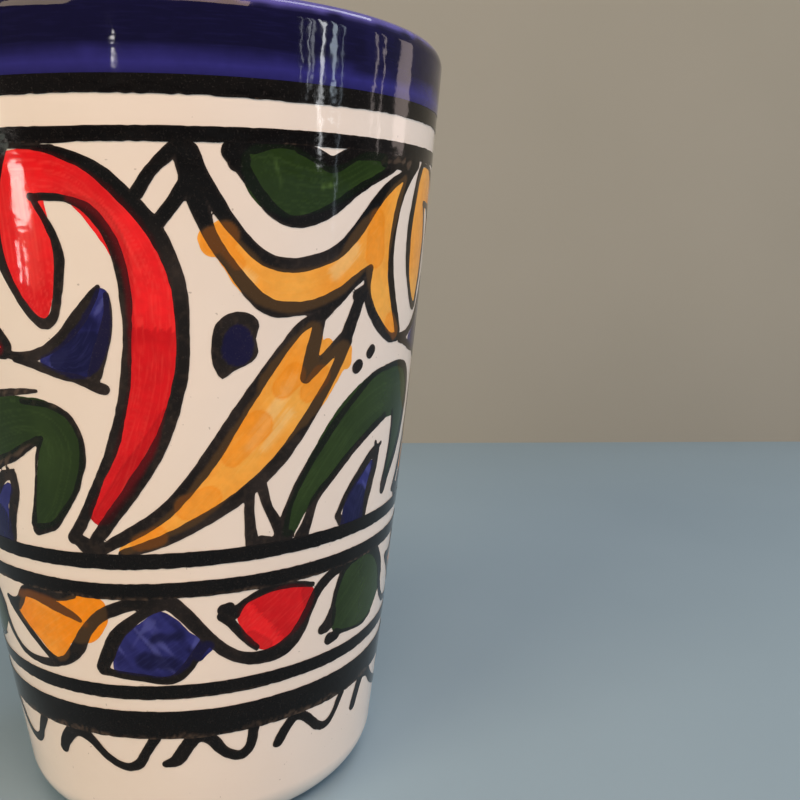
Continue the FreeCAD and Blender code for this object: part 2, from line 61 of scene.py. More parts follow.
# Rows of the table that noise is drawn from, and how far up the table the wall starts.
NOISE_ROWS = 512
NOISE_START = 9.0


def wall_radius(level):
    """Outer radius of the glazed wall at a height: a straight taper with a slight belly."""
    share = level / HEIGHT
    return FOOT_RADIUS + TAPER * share + BELLY * share * (1.0 - share)


def wall_facing(level):
    """How much the wall faces outwards and upwards at a height."""
    slope = (TAPER + BELLY * (1.0 - 2.0 * level / HEIGHT)) / HEIGHT
    steep = np.sqrt(1.0 + slope * slope)
    return 1.0 / steep, -slope / steep


def around(angle, out, up):
    """A radius and a height, turned about the axis by an angle."""
    turn = np.radians(angle)
    return np.stack(np.broadcast_arrays(out * np.sin(turn), -out * np.cos(turn), up), axis=-1)


def smooth(value, low, high):
    """0 below low, 1 above high, and an even bend between them."""
    share = np.clip((value - low) / (high - low), 0.0, 1.0)
    return share * share * (3.0 - 2.0 * share)


def noise(angle, level, size, seed):
    """Smooth random field from about -1 to 1, with blobs of a size in mm, that closes round the wall."""
    cells = max(int(round(AROUND / size)), 4)
    table = np.random.default_rng(seed).uniform(-1.0, 1.0, (cells, NOISE_ROWS))
    across = np.mod(angle / 360.0, 1.0) * cells
    up = level / size + NOISE_START
    i = np.floor(across).astype(int)
    j = np.floor(up).astype(int)
    u = smooth(across - i, 0.0, 1.0)
    v = smooth(up - j, 0.0, 1.0)
    low, high = [table[i % cells, row] * (1 - u) + table[(i + 1) % cells, row] * u
                 for row in (j % NOISE_ROWS, (j + 1) % NOISE_ROWS)]
    return low * (1 - v) + high * v


def colour(red, green, blue):
    """Linear colour from display values of 0 to 255."""
    return np.array([((c / 255.0 + 0.055) / 1.055) ** 2.4 if c > 10 else c / 255.0 / 12.92
                     for c in (red, green, blue)])


# ---------------- the painted pattern

# Brush strokes are rows of (angle, height, width).
BLACK_HOOK = (
    ((-38, 51.35, .6), (-28, 51.3, .6), (-17.5, 51.35, .4)),
    ((-30, 51, .3), (-27, 50.95, .35), (-24, 50.85, .45), (-19.5, 50.4, .65), (-15, 49.65, .9),
     (-10.8, 48.3, 1.05), (-5.4, 46, 1.1), (-2, 43, 1), (-1.25, 40, .9), (-2.1, 36.6, .9),
     (-6.3, 32.5, 1), (-13.3, 29, 1.1), (-18.3, 27, 1), (-24.5, 24.5, .9)),
    ((-27, 48, .5), (-20.3, 47.85, .5), (-15.6, 46.9, .7), (-12.4, 44.8, .8), (-11.3, 42, .75),
     (-11.7, 39, .6), (-13.3, 35.5, .7), (-16.6, 32, .8), (-20.9, 29.3, .65), (-24.6, 27, .8),
     (-28.2, 25.3, .9)),
    ((-27.8, 25.4, .9), (-24.8, 24.7, 1.3), (-23, 24.3, 1)),
    ((-26.8, 48, .4), (-24.9, 46.8, .5), (-23.3, 45.4, .6), (-22.9, 44.2, .7), (-23.6, 42.8, .7),
     (-24.8, 41.2, .6), (-26.3, 40.3, .7), (-28.3, 40.15, .75), (-31, 41, .6), (-33.9, 42.7, .6),
     (-35.6, 44.4, .85), (-35.7, 46, .9), (-34.9, 47.8, .85), (-33, 49.6, .75), (-31, 51.1, .6)),
)
BLACK_RUNGS = (
    ((-1.5, 50.75, .9), (-5.3, 49.5, .8), (-7.9, 48.2, .9)),
    ((.8, 48.9, 1), (-2.3, 47.4, .85), (-4.7, 46.4, .9)),
    ((0, 51.2, 1.3), (.5, 49.9, 1.2), (1.2, 48.8, 1.1)),
)
BLACK_HORNS = (
    ((.9, 49, 1.2), (2.6, 47.4, 1.2), (4.6, 45.5, .9), (8, 43.7, .85), (12, 41.9, 1), (16, 40.95, 1.15),
     (20.5, 40.8, .95), (26, 41, .95), (31.5, 41.7, .9), (36, 42.6, .8), (40, 43.35, .6)),
    ((1.2, 50.6, 1.3), (3.3, 49, 1.1), (6.3, 47.2, 1.05), (10.3, 45.4, .9), (14.5, 44.15, .9),
     (20, 43.7, .95), (26, 44, .95), (31, 44.7, 1), (36, 46.2, 1.05), (40.5, 47.9, 1), (45, 49.1, .85),
     (50, 49.95, .7), (54, 50.9, .7)),
    ((56.5, 50.9, .8), (52, 49.6, .9), (49.2, 48.1, .8), (47.6, 46.2, .75), (47.2, 44.4, .75), (48, 42.6, .8),
     (50.2, 40.7, .85), (53.6, 38.5, 1)),
    ((39.8, 43.2, .6), (39.3, 42, .8), (40.4, 40.8, .9), (43, 39.7, .85), (46.5, 38.7, .8), (50, 38.1, .75),
     (53.3, 38.1, .8)),
    ((36.3, 41.5, .9), (38.2, 41.6, 1.2)),
)
BLACK_LEAF = (
    ((-22, 24.5, .8), (-12, 26.25, 1), (-6, 27.6, 1.05), (0, 29.7, 1.1), (4.8, 31.8, 1.15),
     (8.5, 33.7, 1), (13, 35.8, .9), (18, 38, .8), (22, 39.5, .8), (26.3, 40.2, .9)),
    ((-17, 24.3, .6), (-8, 25.2, .85), (0, 26.4, .9), (8, 27.8, .95), (15, 29.5, 1), (20.5, 31.3, 1),
     (25.5, 33.5, .95), (30, 35.7, .8), (34.3, 38.3, .9)),
    ((26.6, 40, .9), (25.3, 38, 1.1), (23.8, 36.2, 1)),
    ((23.8, 36.1, 1), (28.5, 37.3, .9), (33.5, 38.6, 1)),
    ((26.3, 40.1, .9), (29.5, 40.9, .9), (34, 42.1, .8)),
    ((37.3, 41.3, 1.1), (35.4, 39.8, 1.1), (33.5, 38.3, 1.2)),
)
BLACK_ARCH = (
    ((18.8, 24.6, 1), (20.3, 26.6, .65), (23.6, 28.8, .6), (28, 30.8, .6), (33, 32.7, .6),
     (38.5, 34.25, .55), (44, 35.45, .5), (50, 35.85, .45), (56.5, 35.9, .5), (62, 35.3, .7),
     (65.6, 33.8, .8), (65.6, 32, .8), (63.2, 29.8, .7), (59.5, 28, .7), (56.4, 26.9, .7), (54.1, 25.9, 1)),
    ((53.9, 26.3, .9), (54.9, 27.9, .5), (55.7, 29.5, .4), (56, 31.2, .4), (55.5, 32.1, .4)),
    ((51, 32, .5), (46, 31.4, .6), (41, 30.55, .6), (36, 29.45, .6), (31.5, 28.2, .65), (27.6, 27, .7),
     (25.6, 25.3, .9), (24.2, 24.3, 1.2)),
    ((18, 24.5, .9), (20.8, 24.6, .8)),
)
# The arch that shows at the far left was painted differently from its three sisters.
BLACK_LEFT_ARCH = (
    ((-47, 35.2, .4), (-42, 35.3, .5), (-36, 35.55, .4), (-31.9, 35.65, .2)),
    ((-36, 34.9, .4), (-30, 34.75, .4), (-27, 34.4, .45), (-24.9, 33.8, .45), (-23.3, 32.5, .45),
     (-23.4, 31, .45), (-24.4, 30, .4), (-25.6, 29, .4), (-27.6, 28, .45), (-30.2, 27, .5), (-32.4, 26.2, .6),
     (-34.5, 25.9, .7), (-38, 25.6, .9)),
    ((-38.7, 26, .6), (-37.4, 27.5, .25), (-36.1, 29, .22), (-35, 30.5, .22), (-34, 31.5, .25),
     (-32.6, 32.4, .4)),
    ((-33.5, 32.3, .5), (-38, 31.5, .7), (-42, 30.8, .8), (-46, 30.3, .8), (-55, 28.8, .7), (-62, 26.6, .8)),
)
BLACK_LIP_LEAF = (
    ((8.4, 50.7, 1.4), (10.3, 49.7, 1), (12.5, 48.6, .8), (15.8, 47.2, .8), (20, 46.5, .75),
     (24.5, 46.75, .9), (29, 47.4, .9), (34, 48.5, .75), (39, 49.35, .6), (44, 50.1, .6), (48, 50.8, .6)),
    ((9.3, 50.9, 1.2), (9.6, 50.2, 1.5)),
    ((10.4, 51.1, .8), (12.4, 51, .8), (17, 51.4, .8), (22, 51.3, .9)),
    ((21, 51.1, .8), (24.8, 50.65, .95), (28, 50.15, 1.1), (31.2, 50.65, 1.05), (35, 51.1, .8)),
    ((33, 50.85, .7), (38, 51.05, .8), (44, 51, .7)),
    ((42, 50.7, .8), (47, 50.75, 1), (51.5, 50.75, 1), (54.5, 50.95, .8)),
)
BLACK_SMALL_LEAVES = (
    ((-37.5, 38, .5), (-33, 37.9, .75), (-28.7, 38.35, .7), (-24, 39.3, .9), (-20, 40.8, 1),
     (-17.3, 42, .6), (-16.2, 42.5, .25)),
    ((-14.8, 42, .3), (-14.7, 41, .5), (-15.6, 39.6, .85), (-17.2, 38.1, 1), (-18.6, 36.9, 1)),
    ((-36, 37.75, .5), (-31, 37.4, .6), (-26.5, 36.85, .6), (-22, 36.55, .65), (-18.5, 36.05, .8),
     (-17, 35.9, .75)),
    ((34.7, 25.1, .5), (37.5, 26.6, .7), (42, 28.1, .75), (46, 29.2, .8), (48.6, 29.5, .8)),
    ((48.6, 29.4, .8), (48, 28.2, .9), (46.8, 27, .9), (45.3, 25.5, .8), (44.4, 24.4, .9)),
    ((34.8, 25.2, .6), (36.2, 24.6, .7)),
    ((48.3, 29.5, .5), (47.7, 30.1, .35)),
    ((48.6, 29.5, .5), (50.4, 29.9, .25)),
)
BLACK_STEMS = (
    ((11.3, 28.1, .7), (11.2, 26.5, .75), (11.7, 24.5, .9)),
    ((14, 24.5, .9), (15.8, 24.5, .6)),
    ((13.9, 28.7, .75), (15.5, 27, .7), (18.4, 25.2, .9), (18.9, 24.5, 1.1)),
    ((37.75, 36.3, .9), (38.35, 36.45, .9)),
    ((41.9, 37.2, .85), (42.5, 37.4, .85)),
)
BLACK_STROKES = (BLACK_HOOK, BLACK_RUNGS, BLACK_HORNS, BLACK_LEAF, BLACK_LIP_LEAF, BLACK_SMALL_LEAVES,
                 BLACK_STEMS)
DOT_RIM = ((3.9, 38.3), (4.9, 40.1), (8.8, 40.8), (12.3, 40.5), (13.3, 39.8), (12.5, 39), (13.2, 38.1),
           (11.8, 37.4), (8, 36.9), (5.8, 36.35), (4.4, 37.1))
DOT_FILL = ((6.3, 37.9), (6.9, 39.4), (8.9, 39.9), (10.9, 39.5), (11.9, 38.6), (11.2, 37.7), (8.9, 37.3))

HOOK = (
    ((-30, 49.5, 2.3), (-25, 49.5, 2.6), (-20, 49.1, 2.15), (-15, 47.75, 2.45), (-9.8, 45.3, 2.75),
     (-6.9, 42.5, 2.65), (-6.9, 39.5, 3.05), (-8.2, 36, 2.75), (-11.7, 32.3, 2.5), (-15.5, 29.6, 2.2),
     (-20.6, 27.3, 1.8)),
    ((-28, 40.9, .9), (-28.7, 42.2, 2.3), (-29.3, 44.3, 3.7), (-29.3, 46.6, 3.4), (-29.4, 48.9, 3)),
)
# Where a second pass of the hook's colour ran over the black line inside and outside it.
HOOK_OVERRUN = (
    ((-19.8, 47.9, .7), (-14.9, 47.1, .9), (-11.6, 45, .9), (-10.8, 42.6, .7), (-10.9, 40, .5),
     (-11.8, 37.5, .3)),
    ((-5.6, 34.4, .3), (-9.3, 31.9, 1.3), (-13.4, 30.1, 1.5), (-17.4, 28.4, 1.3), (-22.2, 26.6, .9)),
)
HORNS = (
    ((5.4, 45.7, 1.2), (7.4, 44.9, 1.6), (9.6, 44, 1.9), (12.3, 42.9, 2.2), (16, 42.2, 2.6),
     (20.5, 41.95, 2.75), (26, 42.3, 2.6), (31, 42.9, 2.5), (35.5, 44.1, 2.5), (40, 45.6, 2.9)),
    ((50.5, 49.6, .6), (46, 47.7, 2.2), (42.6, 45.2, 2.9), (42.7, 42.6, 2.4), (46.5, 40.3, 1.6),
     (51.5, 38.6, .7)),
    ((34, 43.9, 2.4), (38, 45.2, 2.9), (42, 46.3, 2.6)),
)
LEAF = (
    ((-16.3, 24.5, .6), (-9.7, 25.7, 1), (-2.4, 27.1, 1.9), (4.7, 29.3, 2.7), (10.8, 31.4, 3.5),
     (16.8, 33.5, 4.1), (21, 35.1, 4)),
    ((19.5, 35.5, 4.2), (22.5, 37.4, 3), (25, 39.2, 1.4)),
    ((21.5, 34.3, 3.6), (27, 35.6, 2.6), (33, 37.6, 1.6)),
    ((28.3, 37.6, .7), (28.8, 38.2, .7)),
    ((34.2, 37.6, .9), (34.4, 36.8, .7)),
)
# Second coats on horns and leaf: blobs and short strokes where the brush went over the same place again.
SECOND_COATS = (
    ((4.6, 45.45, 1.5), (4.8, 45.2, 1.5)),
    ((6.9, 45.6, 1.8), (7, 45.6, 1.8)),
    ((7.4, 44.7, 1), (9.2, 43.9, 1)),
    ((41, 46.6, 1.8), (41.2, 44.4, 2.2)),
    ((49.2, 39.3, 1.5), (51.8, 38.5, 1.2)),
    ((7.6, 31, 1.5), (13, 33, 2.2)),
    ((24.6, 35, 1.5), (27.3, 36, 1.8)),
    ((-2, 27.6, 1.9), (2.5, 28.2, 1.7)),
    ((-13, 25.1, 1.2), (-9, 25.6, 1.5)),
    ((18.5, 35.5, 1.6), (21, 36.3, 1.8)),
)
ARCH = (
    ((20.6, 25, .8), (22.8, 26.6, 1.4), (26.5, 28.3, 2.1), (31, 30.1, 2.8), (37, 32.1, 3.4),
     (43.5, 33.3, 3.9), (51, 33.9, 3.9), (57.5, 33.8, 4), (60.8, 32.3, 3.2), (60.6, 30.4, 2.5),
     (57.8, 28.4, 1.7), (55.7, 27, .9)),
)
LEFT_ARCH = (
    ((-60, 29.5, 3.2), (-52, 31.6, 3.7), (-44, 32.9, 3.9), (-36, 33.5, 3), (-30.5, 33.1, 3.2),
     (-28.3, 31.5, 3.2), (-30.4, 29.3, 2.9), (-33.6, 27.3, 2.1), (-36.8, 26.3, 1.1)),
)
LIP_LEAF = (
    ((13.6, 49.9, 2.4), (17.5, 49.1, 4.1), (21.5, 48.8, 3.7), (27, 48.7, 2.5), (32, 49.3, 2),
     (37, 50.1, 1.9), (41.3, 50.6, 1.1)),
)
SMALL_LEAVES = (
    ((-28.8, 37.7, .5), (-25.5, 37.7, 1.4), (-21.5, 38, 2.5), (-18.5, 39.2, 2.2), (-16.4, 41, 1.2),
     (-15.7, 42, .6)),
    ((40.2, 24.1, 2.4), (41, 26, 2), (43.3, 27.2, 1.2), (46.3, 28.3, .6)),
)
SMALL_SECOND = (
    ((-26, 37.7, 1.2), (-21.5, 38.2, 2.6), (-18.3, 38.9, 1.6)),
    ((39.5, 24.0, 2.8), (41.2, 26.0, 2.4)),
)
# Where the paint was wiped thin and the ground shines through, and where the black brush ran dry and
# left grey.
WIPED = {
    "green_pale": (
        ((16.6, 50.3, .2), (17.4, 48.5, .3)),
        ((18.6, 50.2, .15), (19.2, 48.9, .25)),
        ((20.6, 48.7, .3), (22.8, 47.8, .35)),
        ((24.5, 48.6, .15), (29, 48.9, .25)),
    ),
    "red_pale": (
        ((-29, 48.2, 1.2), (-28.6, 45.5, 1.8), (-28.4, 42.8, 1.2)),
        ((-20, 48.6, .4), (-13, 46.7, .6), (-8.5, 43.6, .5)),
    ),
    "yellow_pale": (
        ((30, 43.2, 1.2), (34.3, 44.6, 1.5)),
        ((9, 43.7, .5), (12, 42.9, .7)),
        ((11.5, 31.6, .8), (17, 34.2, .9), (21, 36.2, .5)),
        ((14.5, 31.4, .6), (20, 33.6, .8)),
    ),
    "dry": (
        ((41, 50.6, .8), (47, 50.8, .9), (52, 50.7, .8)),
        ((42.5, 42.1, .5), (46.5, 41.8, .5)),
    ),
}
LEFT_DRY = (
    ((-33.6, 32.3, .7), (-38, 31.5, .9), (-46, 30.3, 1)),
    ((-47, 35.2, .6), (-36, 35.55, .6), (-31.9, 35.65, .4)),
    ((-34, 34.8, .6), (-28.5, 34.6, .6)),
)

# One turn of the frieze: angle of each motif and the colours of its hook and of its horns.
MOTIFS = ((0.0, "red", "yellow"), (91.2, "yellow", "red"), (180.0, "red", "yellow"), (268.2, "yellow", "red"))
LEFT_MOTIF = 268.2
FRIEZE_LAYERS = ("outlines", "red", "yellow", "green", "blue", "red_second", "yellow_second", "blue_second",
                 "dry", "red_pale", "yellow_pale", "green_pale")

STEM = (
    (-60.5, 17.5, .8), (-58, 16.1, .6), (-53, 15, .6), (-46, 14.75, .65), (-40, 15, .7), (-35.5, 15.6, .8),
    (-32, 16.6, 1.1), (-28.5, 18.2, .9), (-24, 19.5, .9), (-18, 20.3, 1), (-12, 20.7, 1.1),
    (-7.5, 20.5, 1.2), (-3.5, 19.3, 1.1), (.5, 17.8, 1), (5, 16.4, .95), (10, 15.5, .95), (15, 15.3, 1.1),
    (20, 15.6, 1.3), (24, 16.5, 1.2), (27.5, 18.3, .9), (30, 19.6, .9), (34, 20.5, .9), (39, 20.9, .9),
    (46, 21.3, 1), (52, 21, 1), (57, 19.6, .9), (59.5, 18.1, .85),
)
VINE_TOUCHES = (
    ((-55.8, 19.2, .6), (-53, 18.9, 1.1), (-50.3, 19.3, .9), (-47.5, 20.3, .8), (-43, 20.8, .9),
     (-36, 20.6, .8), (-31, 20.9, .6)),
    ((-55, 18.9, .7), (-51.7, 18, .75), (-47.2, 16.8, .65), (-42.3, 15.6, .55), (-39, 15.2, .5)),
    ((-49, 20.1, .5), (-43, 20.2, .7), (-37, 19.8, .8), (-32.5, 19.3, .6), (-30, 18.9, .3)),
    ((-25.6, 15.3, 1), (-23.6, 16.5, 1.1), (-21, 17.9, 1), (-17.5, 18.9, .9), (-13, 19.9, .8),
     (-9, 20.4, .9)),
    ((-25.4, 15.1, .9), (-22, 14.85, .6), (-15, 14.6, .6), (-9.5, 14.35, .7), (-6, 14.75, .8), (-3, 15.8, .8),
     (.3, 17.2, .9)),
    ((5.3, 19.6, 1.1), (6.3, 19.8, .8)),
    ((7.5, 19.3, 1), (9.5, 19.9, .5), (12.5, 20.4, .6), (17, 20.75, .6), (23, 20.6, .5), (28, 20.2, .5)),
    ((4.6, 19.1, .8), (7, 18.4, .7), (10, 17.1, .6), (13, 16.2, .4)),
    ((35.6, 16.6, .6), (35.6, 17.8, .5), (36.7, 19.1, .5), (38.5, 20.3, .6), (41.5, 21, .7)),
    ((37.5, 15.3, .7), (42, 15, .3), (50, 14.75, .25), (55, 15.2, .2)),
    ((32.4, 16.1, .9), (34.5, 16.4, 1.2), (35.5, 17.3, .8)),
    ((35.2, 15, 1), (37.8, 15, .8)),
)
VINE_DRY = (
    ((-50, 20, .8), (-44, 20.1, 1.2), (-37, 19.7, 1.4), (-32, 19.2, 1.2), (-29, 18.7, .8)),
)
VINE_LEAVES = {
    "yellow": ((-51.3, 18.1), (-49.3, 19.5), (-45.5, 20.3), (-40, 20.2), (-35, 20.2), (-31, 20.8), (-27, 21),
        (-23.4, 20.4), (-23.2, 19.1), (-26, 17.8), (-30, 17.2), (-34.5, 17), (-35.4, 15.9), (-38.5, 15.3),
        (-41, 15.8), (-45, 17), (-49, 17.6)),
    "blue": ((-22.2, 15.3), (-21, 16.6), (-18, 18), (-14, 18.9), (-10, 19.75), (-7, 19.2), (-3.5, 18),
        (-.9, 17.2), (-2.3, 16.4), (-5, 15.3), (-9, 14.75), (-15, 14.95), (-19.5, 15.1)),
    "red": ((8.6, 19), (10, 19.8), (15, 20.3), (20, 20.6), (25, 20.3), (28.4, 19.5), (27.6, 18.2), (24.5, 17),
        (20, 16.3), (16, 15.95), (11.5, 16.7), (9.9, 17.4), (9.3, 18.3)),
    "green": ((36.3, 15.9), (36, 17.3), (37.2, 19), (39.5, 20.4), (44, 21.1), (50, 21.1), (54, 20.6),
        (57.5, 19.2), (60.3, 17.7), (58.5, 16.7), (55, 15.5), (50.5, 14.85), (45, 15), (40, 15.2),
        (37.8, 15.4)),
}
VINE_SECOND = (
    ((-31.5, 19, 2.6), (-26, 19.6, 2.4)), ((-46, 18.8, 1.8), (-41, 18.2, 2.2)),
    ((-14, 16, 1.6), (-8, 15.8, 1.6)), ((-11, 17.8, 1.3), (-6, 17.9, 1.2)),
    ((11.5, 17.1, 1.1), (15.5, 16.2, 1)), ((26.5, 19.8, 1), (27.6, 18.6, 1)),
)
VINE_BLUE_RUN = (((-1.5, 16.2, .6), (.8, 16.9, .5)),)
VINE_TURNS = (0.0, 120.0, 240.0)
VINE_LAYERS = ("outlines", "red", "yellow", "green", "blue", "second", "bare", "dry")

SCALLOP_SHAPES = (
    ((0, 7.4, .85), (2, 8.4, 1), (5.8, 9.4, 1.1), (9.3, 9.3, 1), (12.3, 8.6, .75), (15.3, 7.7, .7),
     (18.8, 7.05, .65), (22, 6.9, .7), (25, 7.3, .75), (27.2, 8.3, .75), (29.8, 9.5, .9)),
    ((0, 7.25, .6), (3.1, 7.55, 1), (5.4, 8.5, 1.1), (8.6, 9.5, 1.1), (12.1, 9.2, 1), (15.1, 8.1, .85),
     (17.9, 7.5, .8), (20.6, 7.35, .85), (23, 8, .75), (24, 9.5, .85)),
    ((0, 7.5, .85), (1.9, 8.4, .9), (4.9, 9.3, .9), (7.9, 9.1, .8), (10.9, 8.3, .7), (13.7, 7.55, .7),
     (16.4, 7.3, .7), (19.4, 7.8, .65), (22.9, 9.4, .7)),
    ((0, 7.3, .9), (1.5, 8.4, 1), (4.2, 9.6, 1), (8.7, 9.3, .9), (12.7, 8.2, .8), (17.2, 7.4, .8),
     (22.2, 6.9, .7), (25.5, 7.7, .7), (27.4, 9.5, .8)),
)
# Start angle of each scallop and which of the shapes it has.
SCALLOPS = ((-43.8, 0), (-11.6, 1), (19.6, 2), (49.8, 3), (78.3, 1), (106.8, 2), (135.3, 0), (163.8, 3),
            (192.3, 1), (220.8, 2), (249.3, 3), (-80.5, 0))

# Foot and head of each part of the pattern, and how much its repeats vary.
FRIEZE_SPAN = (23.4, 51.7)
VINE_SPAN = (13.4, 21.6)
SCALLOP_SPAN = (6.2, 10.2)
FRIEZE_VARIED = 0.12
VINE_VARIED = 0.10

# Foot of the blue band outside and inside the lip.
BAND_FOOT = 55.0
BAND_INSIDE = 57.0
BAND_STEPS = 720
GLAZE_STEPS = 360

# Turned lines: foot, head and the width over which the foot fades.
LINES = {
    "rim_line": (53.85, 55.06, 0.02),
    "frieze_top_line": (51.2, 52.1, 0.02),
    "frieze_bottom_line": (23.16, 24.3, 0.02),
    "vine_top_line": (20.85, 22.07, 0.35),
    "vine_bottom_line": (12.85, 13.98, 0.15),
    "base_band": (9.45, 11.79, 0.6),
}

# How far along a red stroke the brush was loaded again.
RELOAD = 14.5

BLACK = colour(12, 10, 10)
BLACK_THIN = colour(60, 51, 47)
BLACK_WORN = colour(104, 86, 72)
RED = colour(250, 34, 38)
RED_DEEP = colour(206, 10, 20)
RED_LIGHT = colour(250, 82, 72)
RED_ON_BLACK = colour(92, 12, 18)
YELLOW = colour(255, 182, 78)
YELLOW_DEEP = colour(255, 150, 16)
YELLOW_THIN = colour(255, 214, 140)
YELLOW_WORN = colour(112, 66, 26)
YELLOW_ON_BLACK = colour(80, 59, 35)
YELLOW_DEEP_ON_BLACK = colour(112, 66, 24)
GREEN = colour(38, 56, 22)
GREEN_LIGHT = colour(88, 116, 58)
GREEN_ON_BLACK = colour(18, 26, 14)
BLUE = colour(50, 52, 128)
BLUE_DEEP = colour(20, 18, 70)
BLUE_LIGHT = colour(92, 96, 170)
BLUE_ON_BLACK = colour(20, 17, 62)
BAND = colour(13, 10, 50)
BAND_LIGHT = colour(50, 47, 128)
# Paler violet over the lip: partly thin paint, partly a painted highlight.
BAND_LIP_THIN_AND_HIGHLIGHT = colour(100, 96, 184)
GLAZE = colour(242, 229, 217)
GLAZE_INSIDE = colour(248, 246, 244)

# Colours that ran over the black: layer, what it tinges the black to, how strongly, and how far in it grows.
FRIEZE_COVERS = (
    ("yellow", YELLOW_ON_BLACK, 0.85, 0.25),
    ("yellow_second", YELLOW_DEEP_ON_BLACK, 0.7, 0.1),
    ("red", RED_ON_BLACK * 0.35, 0.7, 0.3),
    ("red_second", RED_ON_BLACK, 0.9, 0.4),
    ("green", GREEN_ON_BLACK, 0.85, 0.2),
    ("blue", BLUE_ON_BLACK, 0.8, 0.12),
)
VINE_COVERS = (
    ("yellow", YELLOW_ON_BLACK, 0.75, 0.2),
    ("dry", YELLOW_WORN, 0.8, 0.3),
    ("red", RED_ON_BLACK * 0.6, 0.8, 0.3),
    ("green", GREEN_ON_BLACK, 0.8, 0.2),
    ("blue", BLUE_ON_BLACK, 0.8, 0.2),
)

# How far each film's edge stands off the glaze and how much more its middle swells, in mm.
FILMS = {
    "red": (0.010, 0.006),
    "yellow": (0.011, 0.006),
    "green": (0.012, 0.006),
    "blue": (0.013, 0.006),
    "outlines": (0.024, 0.012),
}
SCALLOP_LIFT = 0.030
LINE_LIFT = 0.040
BAND_LIFT = 0.060
THIN_SWELL = 0.006

# Roughness of the glaze from its smoothest to its dullest, where it stops on the foot's rounding, and the
# rings of its flat floor as shares of the floor's width.
SMOOTH_GLAZE = (0.05, 0.10)
GLAZE_STOP = math.radians(-60.0)
FLOOR_RINGS = (0.75, 0.5, 0.25, 0.1)

# Slot of each brushed colour, and the tint and strength of the bristle streaks in it.
STREAKS = {
    "red": ("red_paint", RED_LIGHT, 0.20),
    "yellow": ("yellow_paint", colour(255, 206, 120), 0.14),
    "green": ("green_paint", GREEN_LIGHT, 0.03),
    "blue": ("leaf_blue_paint", colour(92, 94, 180), 0.10),
}
LEAF_ROUGHNESS = 0.06
BAND_STREAK = colour(66, 62, 150)


# ---------------- brushing on the wall


class Wall:
    """A grid on part of the wall. Each field on it has one value per grid point."""

    def __init__(self, low, high, cell):
        self.low = low
        self.high = high
        self.columns = int(round(2.0 * math.pi * wall_radius((low + high) / 2.0) / cell))
        self.rows = int(round((high - low) / cell)) + 1
        self.pitch = 360.0 / self.columns
        angles = np.arange(self.columns) * self.pitch
        levels = np.linspace(low, high, self.rows)
        self.angle, self.level = np.meshgrid(angles, levels)

    def empty(self):
        """A paint layer with nothing on it: depth inside the paint, way along the stroke and across it."""
        shape = self.angle.shape
        return {"depth": np.full(shape, -FAR), "along": np.zeros(shape), "across": np.zeros(shape)}

    def window(self, left, right, low, high):
        """Indexes of the grid points between two angles and two heights."""
        first = int(math.floor(left / self.pitch))
        last = int(math.ceil(right / self.pitch))
        step = (self.high - self.low) / (self.rows - 1)
        bottom = max(int(math.floor((low - self.low) / step)), 0)
        top = min(int(math.ceil((high - self.low) / step)), self.rows - 1)
        return np.arange(first, last + 1), np.arange(bottom, top + 1)


def curve_points(rows, spacing):
    """Rows resampled along a smooth curve through them."""
    points = np.array(rows, float)
    if len(points) < 3:
        return points
    padded = np.vstack([2 * points[0] - points[1], points, 2 * points[-1] - points[-2]])
    found = []
    for i in range(1, len(padded) - 2):
        a, b, c, d = padded[i - 1:i + 3]
        length = math.hypot((c[0] - b[0]) * MM_PER_DEGREE, c[1] - b[1])
        steps = max(int(math.ceil(length / spacing)), 1)
        bend = 2 * a - 5 * b + 4 * c - d
        twist = -a + 3 * b - 3 * c + d
        for t in np.arange(steps) / steps:
            found.append(0.5 * (2 * b + (c - a) * t + bend * t * t + twist * t ** 3))
    found.append(points[-1])
    return np.array(found)


def keep_deeper(layer, place, depth, along, across):
    """Put new paint into a layer wherever it lies deeper than what is there."""
    better = depth > layer["depth"][place]
    for name, values in (("depth", depth), ("along", along), ("across", across)):
        layer[name][place] = np.where(better, values, layer[name][place])


def lay_stroke(wall, layer, rows, turn):
    """Brush one stroke onto the layer, turned round the wall by an angle."""
    points = curve_points(rows, STROKE_STEP)
    way = 0.0
    for a, b in zip(points[:-1], points[1:]):
        scale = wall_radius((a[1] + b[1]) / 2.0) * math.pi / 180.0
        reach = max(a[2], b[2]) / 2.0 + STROKE_MARGIN
        left = min(a[0], b[0]) + turn - reach / scale
        right = max(a[0], b[0]) + turn + reach / scale
        columns, levels = wall.window(left, right, min(a[1], b[1]) - reach, max(a[1], b[1]) + reach)
        if len(levels) == 0:
            continue
        x = (columns * wall.pitch - a[0] - turn)[None, :] * scale
        z = wall.level[levels, 0][:, None] - a[1]
        run = (b[0] - a[0]) * scale
        rise = b[1] - a[1]
        length = max(math.hypot(run, rise), 1e-6)
        share = np.clip((x * run + z * rise) / length ** 2, 0.0, 1.0)
        away = np.hypot(x - share * run, z - share * rise)
        side = np.sign(run * z - rise * x)
        depth = (a[2] + (b[2] - a[2]) * share) / 2.0 - away
        keep_deeper(layer, np.ix_(levels, columns % wall.columns), depth, way + share * length, side * away)
        way += length


def closed_curve(outline):
    """Smooth closed curve through an outline's corners."""
    ring = [tuple(p) + (0.0,) for p in outline]
    looped = curve_points([ring[-1]] + ring + [ring[0], ring[1]], PATCH_STEP)
    at_start = np.hypot(looped[:, 0] - ring[0][0], looped[:, 1] - ring[0][1]) < 1e-6
    first, last = np.flatnonzero(at_start)[[0, -1]]
    return looped[first:last + 1]


